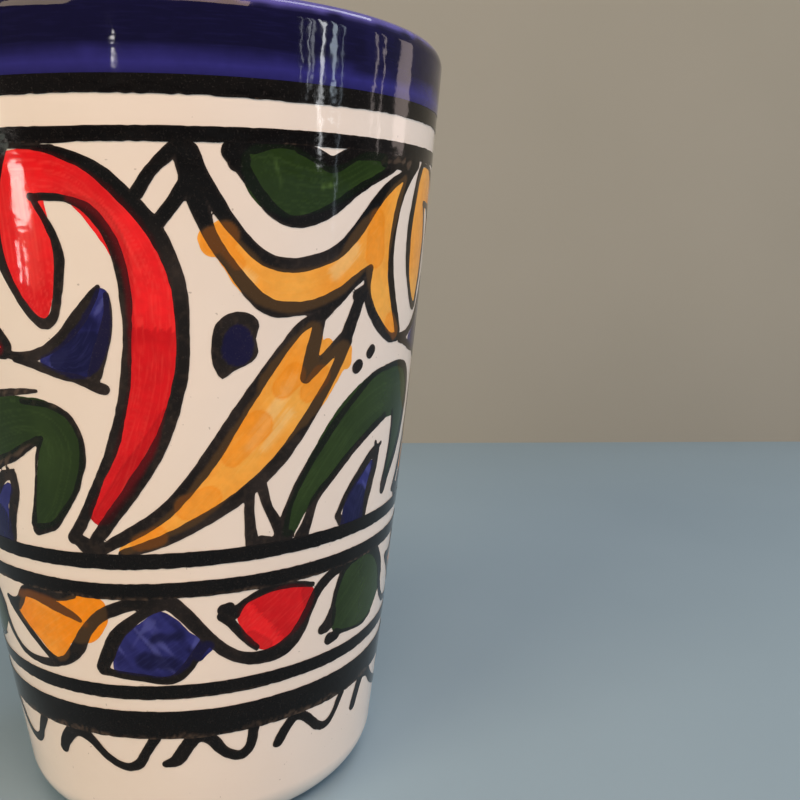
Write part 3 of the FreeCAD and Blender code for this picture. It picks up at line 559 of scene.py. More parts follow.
def lay_patch(wall, layer, outline, turn):
    """Brush a closed patch onto the layer, turned round the wall by an angle."""
    edge = closed_curve(outline)
    middle = float(np.mean([p[1] for p in outline]))
    scale = wall_radius(middle) * math.pi / 180.0
    columns, levels = wall.window(edge[:, 0].min() + turn - PATCH_MARGIN / scale,
                                  edge[:, 0].max() + turn + PATCH_MARGIN / scale,
                                  edge[:, 1].min() - PATCH_MARGIN, edge[:, 1].max() + PATCH_MARGIN)
    x = np.broadcast_to((columns * wall.pitch - turn)[None, :] * scale, (len(levels), len(columns)))
    z = np.broadcast_to(wall.level[levels, 0][:, None], x.shape)
    nearest = np.full(x.shape, FAR)
    inside = np.zeros(x.shape, bool)
    for p, q in zip(edge[:-1], edge[1:]):
        px, qx = p[0] * scale, q[0] * scale
        run, rise = qx - px, q[1] - p[1]
        share = np.clip(((x - px) * run + (z - p[1]) * rise) / max(run * run + rise * rise, 1e-9), 0.0, 1.0)
        nearest = np.minimum(nearest, np.hypot(x - px - share * run, z - p[1] - share * rise))
        if p[1] != q[1]:
            inside ^= ((p[1] > z) != (q[1] > z)) & (x < run * (z - p[1]) / rise + px)
    depth = np.where(inside, nearest, -nearest)
    keep_deeper(layer, np.ix_(levels, columns % wall.columns), depth, x * 0.8 + z * 0.6, z * 0.8 - x * 0.6)


def varied(strokes, seed, amount):
    """The same strokes by the same hand once more: each point moved a little."""
    chance = np.random.default_rng(seed)
    made = []
    for rows in strokes:
        shift = chance.normal(0.0, amount, 2)
        made.append([(r[0] + (shift[0] + chance.normal(0.0, amount)) * 2.0,
                      r[1] + (shift[1] + chance.normal(0.0, amount)) * 0.5) + tuple(r[2:]) for r in rows])
    return made


def lay_all(wall, layer, strokes, turn, amount=0.0):
    """Brush several strokes, with a little change between repeats that the front doesn't show."""
    if amount:
        strokes = varied(strokes, int(turn * 10) + len(strokes), amount)
    for rows in strokes:
        lay_stroke(wall, layer, rows, turn)


def roughen(wall, layer, amount, seed, spread=0.0):
    """Make the paint's edge uneven, as a loaded brush leaves it, and let it spread a little."""
    slow = noise(wall.angle, wall.level, 1.3, seed)
    fine = noise(wall.angle, wall.level, 0.45, seed + 1)
    layer["depth"] = layer["depth"] + (slow * 0.6 + fine * 0.5) * amount + spread


# ---------------- meshes


def shown(name, places, faces, facings, tints, brush):
    """Mesh object with smooth facings, a colour at every corner and the brush's way over it."""
    mesh = bpy.data.meshes.new(name)
    mesh.from_pydata(places.tolist(), [], faces)
    mesh.polygons.foreach_set("use_smooth", np.ones(len(mesh.polygons), bool))
    rgba = np.concatenate([tints, np.ones((len(tints), 1))], axis=1)
    fields = (("paint", "FLOAT_COLOR", "color", rgba), ("brush", "FLOAT_VECTOR", "vector", brush))
    for field, kind, key, values in fields:
        mesh.attributes.new(field, kind, "POINT").data.foreach_set(key, values.astype(np.float32).ravel())
    mesh.normals_split_custom_set_from_vertices(facings.tolist())
    piece = bpy.data.objects.new(name, mesh)
    bpy.context.scene.collection.objects.link(piece)
    return piece


def cell_corners(row, column, columns):
    """Numbers of the four points round a cell of a grid that closes on itself."""
    beside = (column + 1) % columns
    low = row * columns
    return low + column, low + beside, low + columns + beside, low + columns + column


def film_faces(depth):
    """Faces over the grid where depth is above 0, cut along its edge, and the ends of each cut's line."""
    columns = depth.shape[1]
    flat = depth.ravel()
    inside = depth > 0.0
    right = np.roll(inside, -1, axis=1)
    count = inside[:-1] * 1 + right[:-1] + inside[1:] + right[1:]
    faces = np.stack(cell_corners(*np.nonzero(count == 4), columns), axis=1).tolist()
    crossings = {}
    for row, column in zip(*np.nonzero((count > 0) & (count < 4))):
        ring = cell_corners(row, column, columns)
        face = []
        for here, there in zip(ring, ring[1:] + ring[:1]):
            if flat[here] > 0.0:
                face.append(here)
            if (flat[here] > 0.0) != (flat[there] > 0.0):
                key = (here, there) if flat[here] > 0.0 else (there, here)
                face.append(crossings.setdefault(key, flat.size + len(crossings)))
        faces.append(face)
    return faces, np.array(list(crossings))


def film(name, wall, layer, tints, lift, swell):
    """Film of paint where the layer has depth: its edge stands a lift off the glaze, its middle swells."""
    flat = layer["depth"].ravel()
    faces, cuts = film_faces(layer["depth"])
    inner, outer = cuts.T
    share = np.clip(flat[inner] / (flat[inner] - flat[outer]), EDGE_CLEAR, 1.0 - EDGE_CLEAR)

    def with_cuts(field):
        values = field.ravel()
        return np.concatenate([values, values[inner] * (1 - share) + values[outer] * share])

    angle = wall.angle.ravel()
    apart = (angle[outer] - angle[inner] + 180.0) % 360.0 - 180.0
    angles = np.concatenate([angle, angle[inner] + apart * share])
    deep = np.concatenate([flat, np.zeros(len(cuts))])
    level = with_cuts(wall.level)
    height = lift + swell * smooth(deep, 0.0, SWELL_WIDTH)
    place = around(angles, wall_radius(level) + height, level) * MM
    facing = around(angles, *wall_facing(level))
    colours = tints.reshape(-1, 3)
    colours = np.vstack([colours, colours[inner]])
    brush = np.stack([with_cuts(layer["along"]), with_cuts(layer["across"]), deep], axis=1)
    used = np.unique(np.concatenate([np.array(f) for f in faces]))
    renumber = np.full(len(place), -1)
    renumber[used] = np.arange(len(used))
    faces = [renumber[f].tolist() for f in faces]
    return shown(name, place[used], faces, facing[used], colours[used], brush[used])


def arc(centre, radius, begin, end, steps=ARC_STEPS):
    """Points on an arc of a profile, with the way each one faces, as (r, z, nr, nz)."""
    ways = [(math.cos(a), math.sin(a)) for a in np.linspace(begin, end, steps + 1)]
    return [(centre[0] + radius * x, centre[1] + radius * y, x, y) for x, y in ways]


def cup_profile(proud, first_level, inner_level):
    """Profile from the outer wall at one height, over the lip and down inside to another height."""
    low = max(first_level, BASE_ROUND * (1.0 - math.sin(LOW_LEAN)))
    lip_foot = HEIGHT - LIP_ROUND * (1.0 + math.sin(HIGH_LEAN))
    outer_lip = wall_radius(lip_foot) - LIP_ROUND * math.cos(HIGH_LEAN)
    levels = np.linspace(low, lip_foot, max(int((lip_foot - low) / PROFILE_STEP), 4))[:-1]
    points = [(wall_radius(level) + proud, level, *wall_facing(level)) for level in levels]
    lip_level = HEIGHT - LIP_ROUND
    up = math.pi / 2.0
    points += arc((outer_lip, lip_level), LIP_ROUND + proud, -HIGH_LEAN, up)
    points += arc((outer_lip - LIP_CROWN, lip_level), LIP_ROUND + proud, up, math.pi - HIGH_LEAN)
    start = points[-1]
    foot_level = FLOOR_HEIGHT + FLOOR_ROUND * (1.0 - math.sin(LOW_LEAN))
    foot = wall_radius(foot_level) - WALL_THICKNESS
    stop = max(inner_level, foot_level)
    for level in np.linspace(start[1], stop, max(int((start[1] - stop) / PROFILE_STEP), 3))[1:]:
        share = (start[1] - level) / (start[1] - foot_level)
        radius = start[0] + (foot - proud - start[0]) * share
        points.append((radius, level, -math.cos(LOW_LEAN), math.sin(LOW_LEAN)))
    return points


def turned(name, profile, tint, steps, capped=False):
    """Smooth turned skin of a profile, coloured by tint(angle, r, z). A cap fills its last ring."""
    angles = np.arange(steps) * 360.0 / steps
    r, z, nr, nz = np.array(profile).T[:, :, None]
    row, column = np.indices((len(profile) - 1, steps)).reshape(2, -1)
    faces = np.stack(cell_corners(row, column, steps), axis=1).tolist()
    angle, radius, level = np.broadcast_arrays(angles, r, z)
    way = np.stack([angle * AROUND / 360.0, level, np.ones(angle.shape)], axis=-1)
    fields = (around(angles, r, z) * MM, around(angles, nr, nz), tint(angle, radius, level), way)
    fields = [field.reshape(-1, 3) for field in fields]
    if capped:
        fields = [np.vstack([field, field[-steps:].mean(axis=0)]) for field in fields]
        hub = len(profile) * steps
        faces += [[hub - steps + i, hub - steps + (i + 1) % steps, hub] for i in range(steps)]
    place, facing, colours, way = fields
    return shown(name, place, faces, facing, colours, way)


# ---------------- materials


def new_node(material, kind, settings, **choices):
    """A node with its inputs set, each to a plain value or wired from a socket."""
    made = material.node_tree.nodes.new(kind)
    for name, value in choices.items():
        setattr(made, name, value)
    for name, value in settings.items():
        if isinstance(value, bpy.types.NodeSocket):
            material.node_tree.links.new(value, made.inputs[name])
        else:
            made.inputs[name].default_value = value
    return made


def start_material(name):
    """A material with nothing in it yet."""
    material = bpy.data.materials.new(name)
    material.use_nodes = True
    material.node_tree.nodes.clear()
    return material


def finish_material(material, base, roughness, facing=None, specular=0.3):
    """Close a material with a glazed shader: its base colour, its roughness and the facing of its relief."""
    settings = {"Base Color": base, "Roughness": roughness, "IOR": 1.45, "Specular IOR Level": specular}
    if facing is not None:
        settings["Normal"] = facing
    shader = new_node(material, "ShaderNodeBsdfPrincipled", settings)
    new_node(material, "ShaderNodeOutputMaterial", {"Surface": shader.outputs[0]})
    return material


def attribute(material, name, output):
    """A field that the mesh carries."""
    return new_node(material, "ShaderNodeAttribute", {}, attribute_name=name).outputs[output]


def object_place(material):
    """The place on the object in metres."""
    return new_node(material, "ShaderNodeTexCoord", {}).outputs["Object"]


def grain(material, vector, scale, detail, stretch=(1.0, 1.0, 1.0)):
    """Noise on a vector, stretched by three factors."""
    mapping = new_node(material, "ShaderNodeMapping", {"Vector": vector, "Scale": stretch})
    settings = {"Vector": mapping.outputs[0], "Scale": scale, "Detail": detail}
    return new_node(material, "ShaderNodeTexNoise", settings).outputs["Fac"]


def ramp(material, value, low, high, start, end):
    """Value from low to high turned into start to end, and held beyond."""
    settings = {"Value": value, "From Min": low, "From Max": high, "To Min": start, "To Max": end}
    return new_node(material, "ShaderNodeMapRange", settings).outputs["Result"]


def blend(material, factor, first, second):
    """Mix of two colours by a factor; each is a socket or a plain colour."""
    first, second = [c if isinstance(c, bpy.types.NodeSocket) else (*c, 1.0) for c in (first, second)]
    settings = {"Factor": factor, 6: first, 7: second}
    return new_node(material, "ShaderNodeMix", settings, data_type="RGBA").outputs[2]


def relief(material, height, distance, strength):
    """Facing of a surface with bumps of a height on it."""
    settings = {"Height": height, "Distance": distance, "Strength": strength}
    return new_node(material, "ShaderNodeBump", settings).outputs[0]


def glaze_relief(material):
    """The glaze's slow waviness, the same over every colour so that reflections run on unbroken."""
    slow = grain(material, object_place(material), 300.0, 3.0, (1.0, 1.0, 1.3))
    return relief(material, slow, 0.00035, 0.12)


def paint_material(name, light, streak_gain, roughness):
    """Glazed paint: its own colour with fine bristle streaks along the brush's way."""
    material = start_material(name)
    place = object_place(material)
    bristles = grain(material, attribute(material, "brush", "Vector"), 1.0, 3.0, (0.5, 5.0, 0.0))
    streaks = ramp(material, bristles, 0.50, 0.75, 0.0, streak_gain)
    streaked = blend(material, streaks, attribute(material, "paint", "Color"), light)
    mottle = ramp(material, grain(material, place, 1400.0, 3.0), 0.35, 0.65, 0.09, 0.0)
    shade = blend(material, mottle, streaked, (0.0, 0.0, 0.0))
    fine = grain(material, place, 2600.0, 2.0)
    rough = ramp(material, fine, 0.3, 0.7, roughness * 0.7, roughness * 1.4)
    return finish_material(material, shade, rough, glaze_relief(material))


def black_material():
    """Glazed black with fine pale grains, as pigment that didn't quite cover."""
    material = start_material("black_paint")
    grains = grain(material, object_place(material), 8600.0, 1.0)
    specks = ramp(material, grains, 0.61, 0.80, 0.0, 0.12)
    speckled = blend(material, specks, attribute(material, "paint", "Color"), (0.16, 0.14, 0.13))
    rough = ramp(material, grains, 0.3, 0.7, *SMOOTH_GLAZE)
    return finish_material(material, speckled, rough, glaze_relief(material), 0.24)


def glaze_material():
    """Clear glaze over a white ground, with faint clouds and a few dark pinholes."""
    material = start_material("white_glaze")
    place = object_place(material)
    clouds = ramp(material, grain(material, place, 170.0, 3.0), 0.35, 0.7, 0.0, 0.10)
    clouded = blend(material, clouds, attribute(material, "paint", "Color"), colour(222, 196, 170))
    pits = ramp(material, grain(material, place, 3600.0, 0.0), 0.84, 0.88, 0.0, 0.4)
    pitted = blend(material, pits, clouded, colour(120, 100, 84))
    rough = ramp(material, grain(material, place, 900.0, 2.0), 0.3, 0.7, *SMOOTH_GLAZE)
    return finish_material(material, pitted, rough, glaze_relief(material))


def clay_material():
    """Bare fired clay: matt, warm and finely speckled."""
    material = start_material("bare_clay")
    place = object_place(material)
    fine = grain(material, place, 2600.0, 4.0)
    shade = ramp(material, fine, 0.3, 0.7, 0.0, 1.0)
    tone = blend(material, shade, colour(206, 186, 160), colour(228, 212, 188))
    specks = ramp(material, grain(material, place, 4200.0, 1.0), 0.7, 0.78, 0.0, 0.5)
    speckled = blend(material, specks, tone, colour(140, 112, 84))
    rough = ramp(material, fine, 0.2, 0.8, 0.75, 0.95)
    return finish_material(material, speckled, rough, relief(material, fine, 0.00008, 0.5))


# ---------------- colours on the wall


def mixed(first, second, factor):
    """Colour field between two colours or fields."""
    return first * (1.0 - factor[..., None]) + second * factor[..., None]


def second_edge(depth):
    """How much of a second coat lies at a place, with the darker rim where it dried."""
    rim = smooth(depth, -0.04, 0.0) * (1.0 - smooth(depth, 0.06, 0.2))
    return 0.55 * smooth(depth, -0.08, 0.12) + 0.25 * rim


def hatch(wall, seed):
    """Crossing brush marks, from 0 to 1."""
    one = noise(wall.angle + wall.level * 2.4, wall.level * 0.35, 0.55, seed)
    other = noise(wall.angle - wall.level * 2.0, wall.level * 0.35, 0.6, seed + 1)
    return np.clip(0.5 + 0.55 * np.maximum(one, other), 0.0, 1.0)


def red_tint(wall, layer, second, pale):
    """Red with paler streaks down its middle and a deeper second pass."""
    streak = noise(layer["across"] * 40.0, layer["along"] * 0.12, 0.9, 31)
    blotch = noise(wall.angle, wall.level, 2.2, 32)
    base = mixed(RED, RED_DEEP, np.clip(0.25 + 0.4 * blotch, 0.0, 1.0))
    base = mixed(base, RED_LIGHT, 0.3 * smooth(streak, 0.1, 0.8))
    reloaded = smooth(layer["along"] + 0.2 * streak, RELOAD, RELOAD + 0.15)
    wet = reloaded * (1.0 - smooth(layer["along"], RELOAD + 0.4, RELOAD + 1.8))
    base = mixed(base, RED_DEEP, 0.55 * reloaded + 0.3 * wet)
    base = mixed(base, RED_LIGHT, (0.35 + 0.25 * streak) * smooth(pale["depth"], -0.3, 0.5))
    return mixed(base, RED_DEEP * 0.6, 0.7 * second_edge(second["depth"]))


def yellow_tint(wall, layer, second, pale, richness):
    """Amber yellow, thin and pale where it was wiped, orange where it was gone over twice."""
    blotch = noise(wall.angle, wall.level, 3.4, 41)
    streak = noise(layer["across"] * 30.0, layer["along"] * 0.15, 1.0, 42)
    base = mixed(YELLOW, YELLOW_DEEP, np.clip(richness + 0.4 * blotch + 0.1 * streak, 0.0, 1.0))
    base = mixed(base, YELLOW_THIN, 0.55 * smooth(pale["depth"] + 0.25 * streak, -0.25, 0.35))
    return mixed(base, YELLOW_DEEP * 0.97, second_edge(second["depth"]))


def green_tint(wall, layer, pale):
    """Deep green, flat, with a few paler bristle marks."""
    streak = noise(layer["across"] * 34.0, layer["along"] * 0.2, 0.8, 51)
    blotch = noise(wall.angle, wall.level, 2.6, 52)
    faint = 0.12 * smooth(streak, 0.2, 0.9) + 0.10 * smooth(blotch, 0.0, 0.8)
    hairs = noise(wall.angle + wall.level * 0.5, wall.level * 0.3, 0.3, 53)
    marks = smooth(pale["depth"] + 0.3 * hairs, -0.1, 0.4) * (0.5 + 0.5 * hairs)
    return mixed(GREEN, GREEN_LIGHT, np.clip(faint + 0.9 * marks, 0.0, 1.0))


def blue_tint(wall, second, uneven):
    """Mottled violet blue in crossing strokes, near navy where it was gone over twice."""
    blotch = noise(wall.angle, wall.level, 1.6, 61)
    coverage = 0.3 + 0.25 * uneven + 0.8 * (hatch(wall, 62) - 0.5) + 0.45 * blotch
    base = mixed(BLUE_DEEP, BLUE, np.clip(coverage, 0.0, 1.0))
    base = mixed(base, BLUE_LIGHT, 0.5 * smooth(hatch(wall, 64) + 0.2 * blotch, 0.78, 1.0))
    broken = 0.5 * (hatch(wall, 66) - 0.5) * uneven
    coat = smooth(second["depth"] + broken, -0.04, 0.06 + 0.4 * uneven)
    return mixed(base, BLUE_DEEP * 0.75, 0.9 * coat)


def black_tint(wall, layer, covers=(), softness=1.0, washed=0.1):
    """Black, thin and brownish at its edges, and tinged where a colour ran over it."""
    edge = 1.0 - smooth(layer["depth"], 0.0, 0.15)
    patchy = smooth(noise(wall.angle, wall.level, 0.6, 71), -0.3, 0.8)
    thin = smooth(noise(wall.angle, wall.level, 2.4, 72), -0.2, 0.9)
    worn = softness * edge * (0.35 + 0.45 * patchy) + washed * (0.5 + thin)
    tone = mixed(BLACK, BLACK_THIN, np.clip(worn, 0.0, 1.0))
    grit = smooth(noise(wall.angle, wall.level, 0.24, 73), 0.0, 0.9)
    tone = mixed(tone, BLACK_WORN, 0.3 * washed * grit)
    for depth, tinge, strength, reach in covers:
        tone = mixed(tone, tinge, strength * smooth(depth + 0.05 * patchy, -0.02, reach))
    return tone


def band_tint(angle, radius, level):
    """Navy blue, brighter along its foot, and paler violet over the lip: partly paint washed thin there,
    partly a painted highlight.
    """
    fine = noise(angle, level, 0.9, 301)
    slow = noise(angle, level * 0.3, 5.0, 302)
    foot = 1.0 - smooth(level + 0.2 * fine + 0.2 * slow, 55.85, 56.45)
    foot = foot * (0.55 + 0.45 * smooth(level + 0.1 * fine, 55.05, 55.35))
    # Over the top of the lip the band turns paler violet: partly thinner paint, partly a painted highlight.
    lip = smooth(level + 0.1 * fine, 59.15, 59.5)
    tone = mixed(BAND, BAND_LIGHT, 0.9 * foot)
    tone = mixed(tone, BAND_LIGHT, 0.12 * smooth(slow + 0.4 * fine, 0.2, 0.9))
    return mixed(tone, BAND_LIP_THIN_AND_HIGHLIGHT, (0.62 + 0.22 * slow + 0.1 * fine) * lip)


def glaze_tint(angle, radius, level):
    """Warm white ground with the faintest clouds, cleaner white inside the cup."""
    slow = noise(angle, level, 9.0, 401)
    inside = smooth(wall_radius(level) - radius, 1.0, 2.0)
    return mixed(GLAZE, GLAZE_INSIDE, inside) * (1.0 + 0.015 * slow[..., None])


# ---------------- pieces


def settle(piece, node, slot, material):
    """Give a finished piece its material and its place in the frame."""
    piece.data.materials.append(material)
    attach(piece, "root")
    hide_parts(node)


def settle_films(part, wall, layers, tints):
    """A film for every colour of one part of the pattern."""
    for name, (lift, swell) in FILMS.items():
        node = "%s_%s" % (part, name)
        piece = film("painted_" + node, wall, layers[name], tints[name], lift, swell)
        settle(piece, node, *PAINTS[name])


def frieze():
    """The main frieze: hooks, horns, leaves and arches, each colour a film of its own."""
    wall = Wall(*FRIEZE_SPAN, GRID)
    layers = {name: wall.empty() for name in FRIEZE_LAYERS}
    for turn, hook, horn in MOTIFS:
        amount = FRIEZE_VARIED if turn else 0.0
        for strokes in BLACK_STROKES:
            lay_all(wall, layers["outlines"], strokes, turn, amount)
        left = turn == LEFT_MOTIF
        arch_turn = 0.0 if left else turn
        lay_all(wall, layers["outlines"], BLACK_LEFT_ARCH if left else BLACK_ARCH, arch_turn)
        lay_all(wall, layers["green"], LEFT_ARCH if left else ARCH, arch_turn)
        coloured = ((hook, HOOK), (hook + "_second", HOOK_OVERRUN), (horn, HORNS + LEAF + SECOND_COATS),
                    (horn + "_second", SECOND_COATS), ("green", LIP_LEAF), ("blue", SMALL_LEAVES),
                    ("blue_second", SMALL_SECOND))
        for name, strokes in coloured:
            lay_all(wall, layers[name], strokes, turn, amount)
        for name, outline in (("outlines", DOT_RIM), ("blue", DOT_FILL), ("blue_second", DOT_FILL)):
            lay_patch(wall, layers[name], outline, turn)
        for name, strokes in WIPED.items():
            lay_all(wall, layers[name], strokes, turn)
    lay_all(wall, layers["dry"], LEFT_DRY, 0.0)
    roughen(wall, layers["outlines"], 0.055, 1)
    for seed, (name, spread) in enumerate((("red", 0.10), ("yellow", 0.14), ("green", 0.18), ("blue", 0.15))):
        roughen(wall, layers[name], 0.06, 11 + 2 * seed, spread)
    settle_films("frieze", wall, layers, frieze_tints(wall, layers))


def frieze_tints(wall, layers):
    """Colour fields of the frieze. The black is washed out towards the foot."""
    hairs = noise(wall.angle - wall.level * 2.0, wall.level * 0.3, 0.35, 21)
    washed = 0.36 - 0.3 * smooth(wall.level, 43.0, 47.0)
    covers = [(layers["dry"]["depth"] + 0.3 * hairs - 0.2, BLACK_WORN, 0.5, 0.2)]
    covers += [(layers[name]["depth"], *rest) for name, *rest in FRIEZE_COVERS]
    return {
        "red": red_tint(wall, layers["red"], layers["red_second"], layers["red_pale"]),
        "yellow": yellow_tint(wall, layers["yellow"], layers["yellow_second"], layers["yellow_pale"], 0.25),
        "green": green_tint(wall, layers["green"], layers["green_pale"]),
        "blue": blue_tint(wall, layers["blue_second"], 0.0),
        "outlines": black_tint(wall, layers["outlines"], covers, 1.0, washed),
    }


def vine():
    """The vine: a waving stem with leaves yellow, blue, red and green in turn."""
    wall = Wall(*VINE_SPAN, GRID)
    layers = {name: wall.empty() for name in VINE_LAYERS}
    for turn in VINE_TURNS:
        amount = VINE_VARIED if turn else 0.0
        lay_stroke(wall, layers["outlines"], STEM, turn)
        lay_all(wall, layers["outlines"], VINE_TOUCHES, turn, amount)
        for name, outline in VINE_LEAVES.items():
            lay_patch(wall, layers[name], varied((outline,), int(turn) + 5, amount)[0], turn)
        for name, strokes in (("blue", VINE_BLUE_RUN), ("second", VINE_SECOND), ("dry", VINE_DRY)):
            lay_all(wall, layers[name], strokes, turn)
    roughen(wall, layers["outlines"], 0.06, 101)
    for seed, name in enumerate(("red", "yellow", "green", "blue")):
        roughen(wall, layers[name], 0.08, 111 + 2 * seed, 0.2)
    second = layers["second"]
    bare = layers["bare"]
    covers = [(layers[name]["depth"], *rest) for name, *rest in VINE_COVERS]
    settle_films("vine", wall, layers, {
        "red": red_tint(wall, layers["red"], second, bare),
        "yellow": yellow_tint(wall, layers["yellow"], second, bare, 0.9),
        "green": green_tint(wall, layers["green"], bare),
        "blue": blue_tint(wall, second, 1.0),
        "outlines": black_tint(wall, layers["outlines"], covers, 1.0, 0.2),
    })


def scallops():
    """The fringe of loose strokes under the base band."""
    wall = Wall(*SCALLOP_SPAN, GRID)
    black = wall.empty()
    for turn, shape in SCALLOPS:
        lay_stroke(wall, black, SCALLOP_SHAPES[shape], turn)
    roughen(wall, black, 0.06, 201)
    piece = film("painted_scallops", wall, black, black_tint(wall, black), SCALLOP_LIFT, THIN_SWELL)
    settle(piece, "scallop_strokes", *PAINTS["outlines"])


def turned_line(name, foot, head, fade):
    """A line painted on the wheel: near even edges, and a foot that fades where the brush ran dry."""
    wall = Wall(foot - 0.5, head + 0.4, LINE_GRID)
    seed = int(foot * 100)
    hairs = noise(wall.angle, 0.0 * wall.level, 0.4, seed)
    slow = noise(wall.angle, 0.0 * wall.level, 7.0, seed + 1)
    low = wall.level - foot + 0.035 * hairs + 0.06 * slow
    high = head - wall.level + 0.02 * hairs - 0.05 * slow
    layer = {"depth": np.minimum(low, high), "along": wall.angle * AROUND / 360.0, "across": wall.level}
    speckle = 0.5 + 0.5 * noise(wall.angle, wall.level, 0.22, seed + 2)
    patches = noise(wall.angle, wall.level, 2.0, seed + 3)
    worn = (1.0 - smooth(low + 0.5 * fade * patches, 0.0, fade)) * speckle
    tints = mixed(black_tint(wall, layer, (), 0.3, 0.04), BLACK_WORN, 0.8 * worn * worn)
    piece = film("painted_" + name, wall, layer, tints, LINE_LIFT, THIN_SWELL)
    settle(piece, name, *PAINTS["outlines"])


def blue_band():
    """The blue band over the lip."""
    profile = cup_profile(BAND_LIFT, BAND_FOOT, BAND_INSIDE)
    piece = turned("painted_rim_band", profile, band_tint, BAND_STEPS)
    material = paint_material("blue_paint", BAND_STREAK, 0.07, 0.05)
    settle(piece, "blue_rim_band", "blue_paint", material)


def glaze():
    """The glazed cup: foot rounding, wall, lip, well and floor in one turned skin."""
    stand = wall_radius(BASE_ROUND * (1 - math.sin(LOW_LEAN))) - BASE_ROUND * math.cos(LOW_LEAN)
    foot = arc((stand, BASE_ROUND), BASE_ROUND, GLAZE_STOP, -LOW_LEAN, FOOT_STEPS)[:-1]
    upper = cup_profile(0.0, 0.0, 0.0)
    floor_edge = upper[-1][0] - FLOOR_ROUND * math.cos(LOW_LEAN)
    floor_centre = (floor_edge, FLOOR_HEIGHT + FLOOR_ROUND)
    bend = arc(floor_centre, FLOOR_ROUND, -LOW_LEAN, -math.pi / 2.0)[1:]
    bend = [(r, z, -nr, -nz) for r, z, nr, nz in bend]
    middle = [(floor_edge * share, FLOOR_HEIGHT, 0.0, 1.0) for share in FLOOR_RINGS]
    piece = turned("glazed_cup", foot + upper + bend + middle, glaze_tint, GLAZE_STEPS, True)
    settle(piece, "white_glaze", "white_glaze", glaze_material())


# ---------------- room

# Floor and wall behind: half the floor's width, the wall's bearing, how far off it stands, half its
# width and its height, in metres.
FLOOR_REACH = 1.2
WALL_BEARING = math.radians(13.3)
WALL_AWAY = 0.1217
WALL_REACH = 0.3
WALL_TALL = 0.14

# Soft lamps: place, height of the target on the axis, width, height, power and tint, in metres and watts.
LAMPS = {
    "top_light": ((0.05, -0.30, 0.45), 0.03, 0.30, 0.24, 1.72, (1.0, 0.68, 0.49)),
    "key_light": ((-0.34, -0.26, 0.26), 0.035, 0.22, 0.22, 0.98, (1.0, 0.77, 0.51)),
    "fill_light": ((0.35, -0.2, 0.25), 0.03, 0.35, 0.35, 0.60, (0.82, 0.89, 1.0)),
    "lip_light": ((0.18, 0.12, 0.40), 0.06, 0.09, 0.20, 0.24, (0.90, 0.93, 1.0)),
}

# Narrow strips of light, as gaps between curtains, all the same distance away and with the same spread
# in degrees: bearing, width, foot, head, glow and tint.
STRIP_AWAY = 0.22
STRIP_SPREAD = 70.0
STRIP_SHARE = 0.165
DAY = (0.9, 0.95, 1.0)
SKY = (0.75, 0.88, 1.0)
WARM = (1.0, 0.92, 0.86)
ROSE = (1.0, 0.85, 0.80)
STRIPS = (
    (-64.6, 0.022, 0.018, 0.0355, 76.0, (1.0, 0.90, 0.82)),
    (-71.0, 0.036, 0.040, 0.110, 9.0, (0.9, 1.0, 0.85)),
    (-69.0, 0.004, 0.004, 0.012, 90.0, WARM),
    (-66.0, 0.003, 0.002, 0.008, 90.0, WARM),
    (45.5, 0.0015, 0.055, 0.120, 20.0, DAY),
    (48.5, 0.0025, 0.050, 0.120, 26.0, DAY),
    (50.5, 0.0050, 0.055, 0.120, 16.0, DAY),
    (55.2, 0.0045, 0.034, 0.130, 62.0, (0.95, 0.97, 1.0)),
    (60.5, 0.0070, 0.052, 0.130, 32.0, SKY),
    (64.0, 0.0020, 0.010, 0.110, 18.0, SKY),
    (81.5, 0.0040, 0.050, 0.110, 14.0, ROSE),
    (86.0, 0.0030, 0.045, 0.110, 14.0, ROSE),
    (101.0, 0.0380, 0.050, 0.110, 7.0, (1.0, 0.80, 0.74)),
    (-21.6, 0.0036, 0.0560, 0.0582, 120.0, (1.0, 0.95, 0.92)),
)
ROOM_GLOW = 0.22

# Camera: its place in metres, its bearing, how far it looks down and leans, and its lens in mm.
EYE = (0.0, -0.07743, 0.04527)
YAW = math.radians(13.305)
PITCH = math.radians(10.164)
ROLL = -0.0038
LENS = 40.03
SENSOR = 36.0


def stage_material(name, first, second, roughness):
    """Matt painted board with a faint mottle."""
    material = start_material(name)
    clouds = ramp(material, grain(material, object_place(material), 9.0, 4.0), 0.35, 0.65, 0.0, 1.0)
    return finish_material(material, blend(material, clouds, first, second), roughness, None, 0.05)


def panel(name, corners, material):
    """Flat staged panel from four corners in metres."""
    mesh = bpy.data.meshes.new(name)
    mesh.from_pydata(corners, [], [(0, 1, 2, 3)])
    piece = bpy.data.objects.new(name, mesh)
    piece.data.materials.append(material)
    bpy.context.scene.collection.objects.link(piece)


def room():
    """Pale floor, and a pale wall some way behind."""
    floor = stage_material("pale_floor", colour(134, 159, 176), colour(140, 165, 182), 0.6)
    wall = stage_material("pale_wall", colour(154, 156, 148), colour(160, 161, 154), 0.8)
    corners = ((-1, -1), (1, -1), (1, 1), (-1, 1))
    panel("floor", [(x * FLOOR_REACH, y * FLOOR_REACH, 0) for x, y in corners], floor)
    foot = Vector((math.sin(WALL_BEARING), math.cos(WALL_BEARING), 0.0)) * WALL_AWAY
    side = Vector((math.cos(WALL_BEARING), -math.sin(WALL_BEARING), 0.0)) * WALL_REACH
    high = Vector((0.0, 0.0, WALL_TALL))
    panel("backdrop", [foot - side, foot + side, foot + side + high, foot - side + high], wall)


def lamp(name, place, aim, width, height, power, tint, spread=180.0):
    """Soft area light at a place, aimed at a height on the axis, all in metres. Its spread is in degrees."""
    data = bpy.data.lights.new(name, "AREA")
    data.shape = "RECTANGLE"
    data.size = width
    data.size_y = height
    data.energy = power
    data.spread = math.radians(spread)
    data.color = tint
    light = bpy.data.objects.new(name, data)
    light.location = place
    light.rotation_euler = (Vector((0, 0, aim)) - Vector(place)).to_track_quat("-Z", "Y").to_euler()
    light.visible_camera = False
    bpy.context.scene.collection.objects.link(light)
    return light


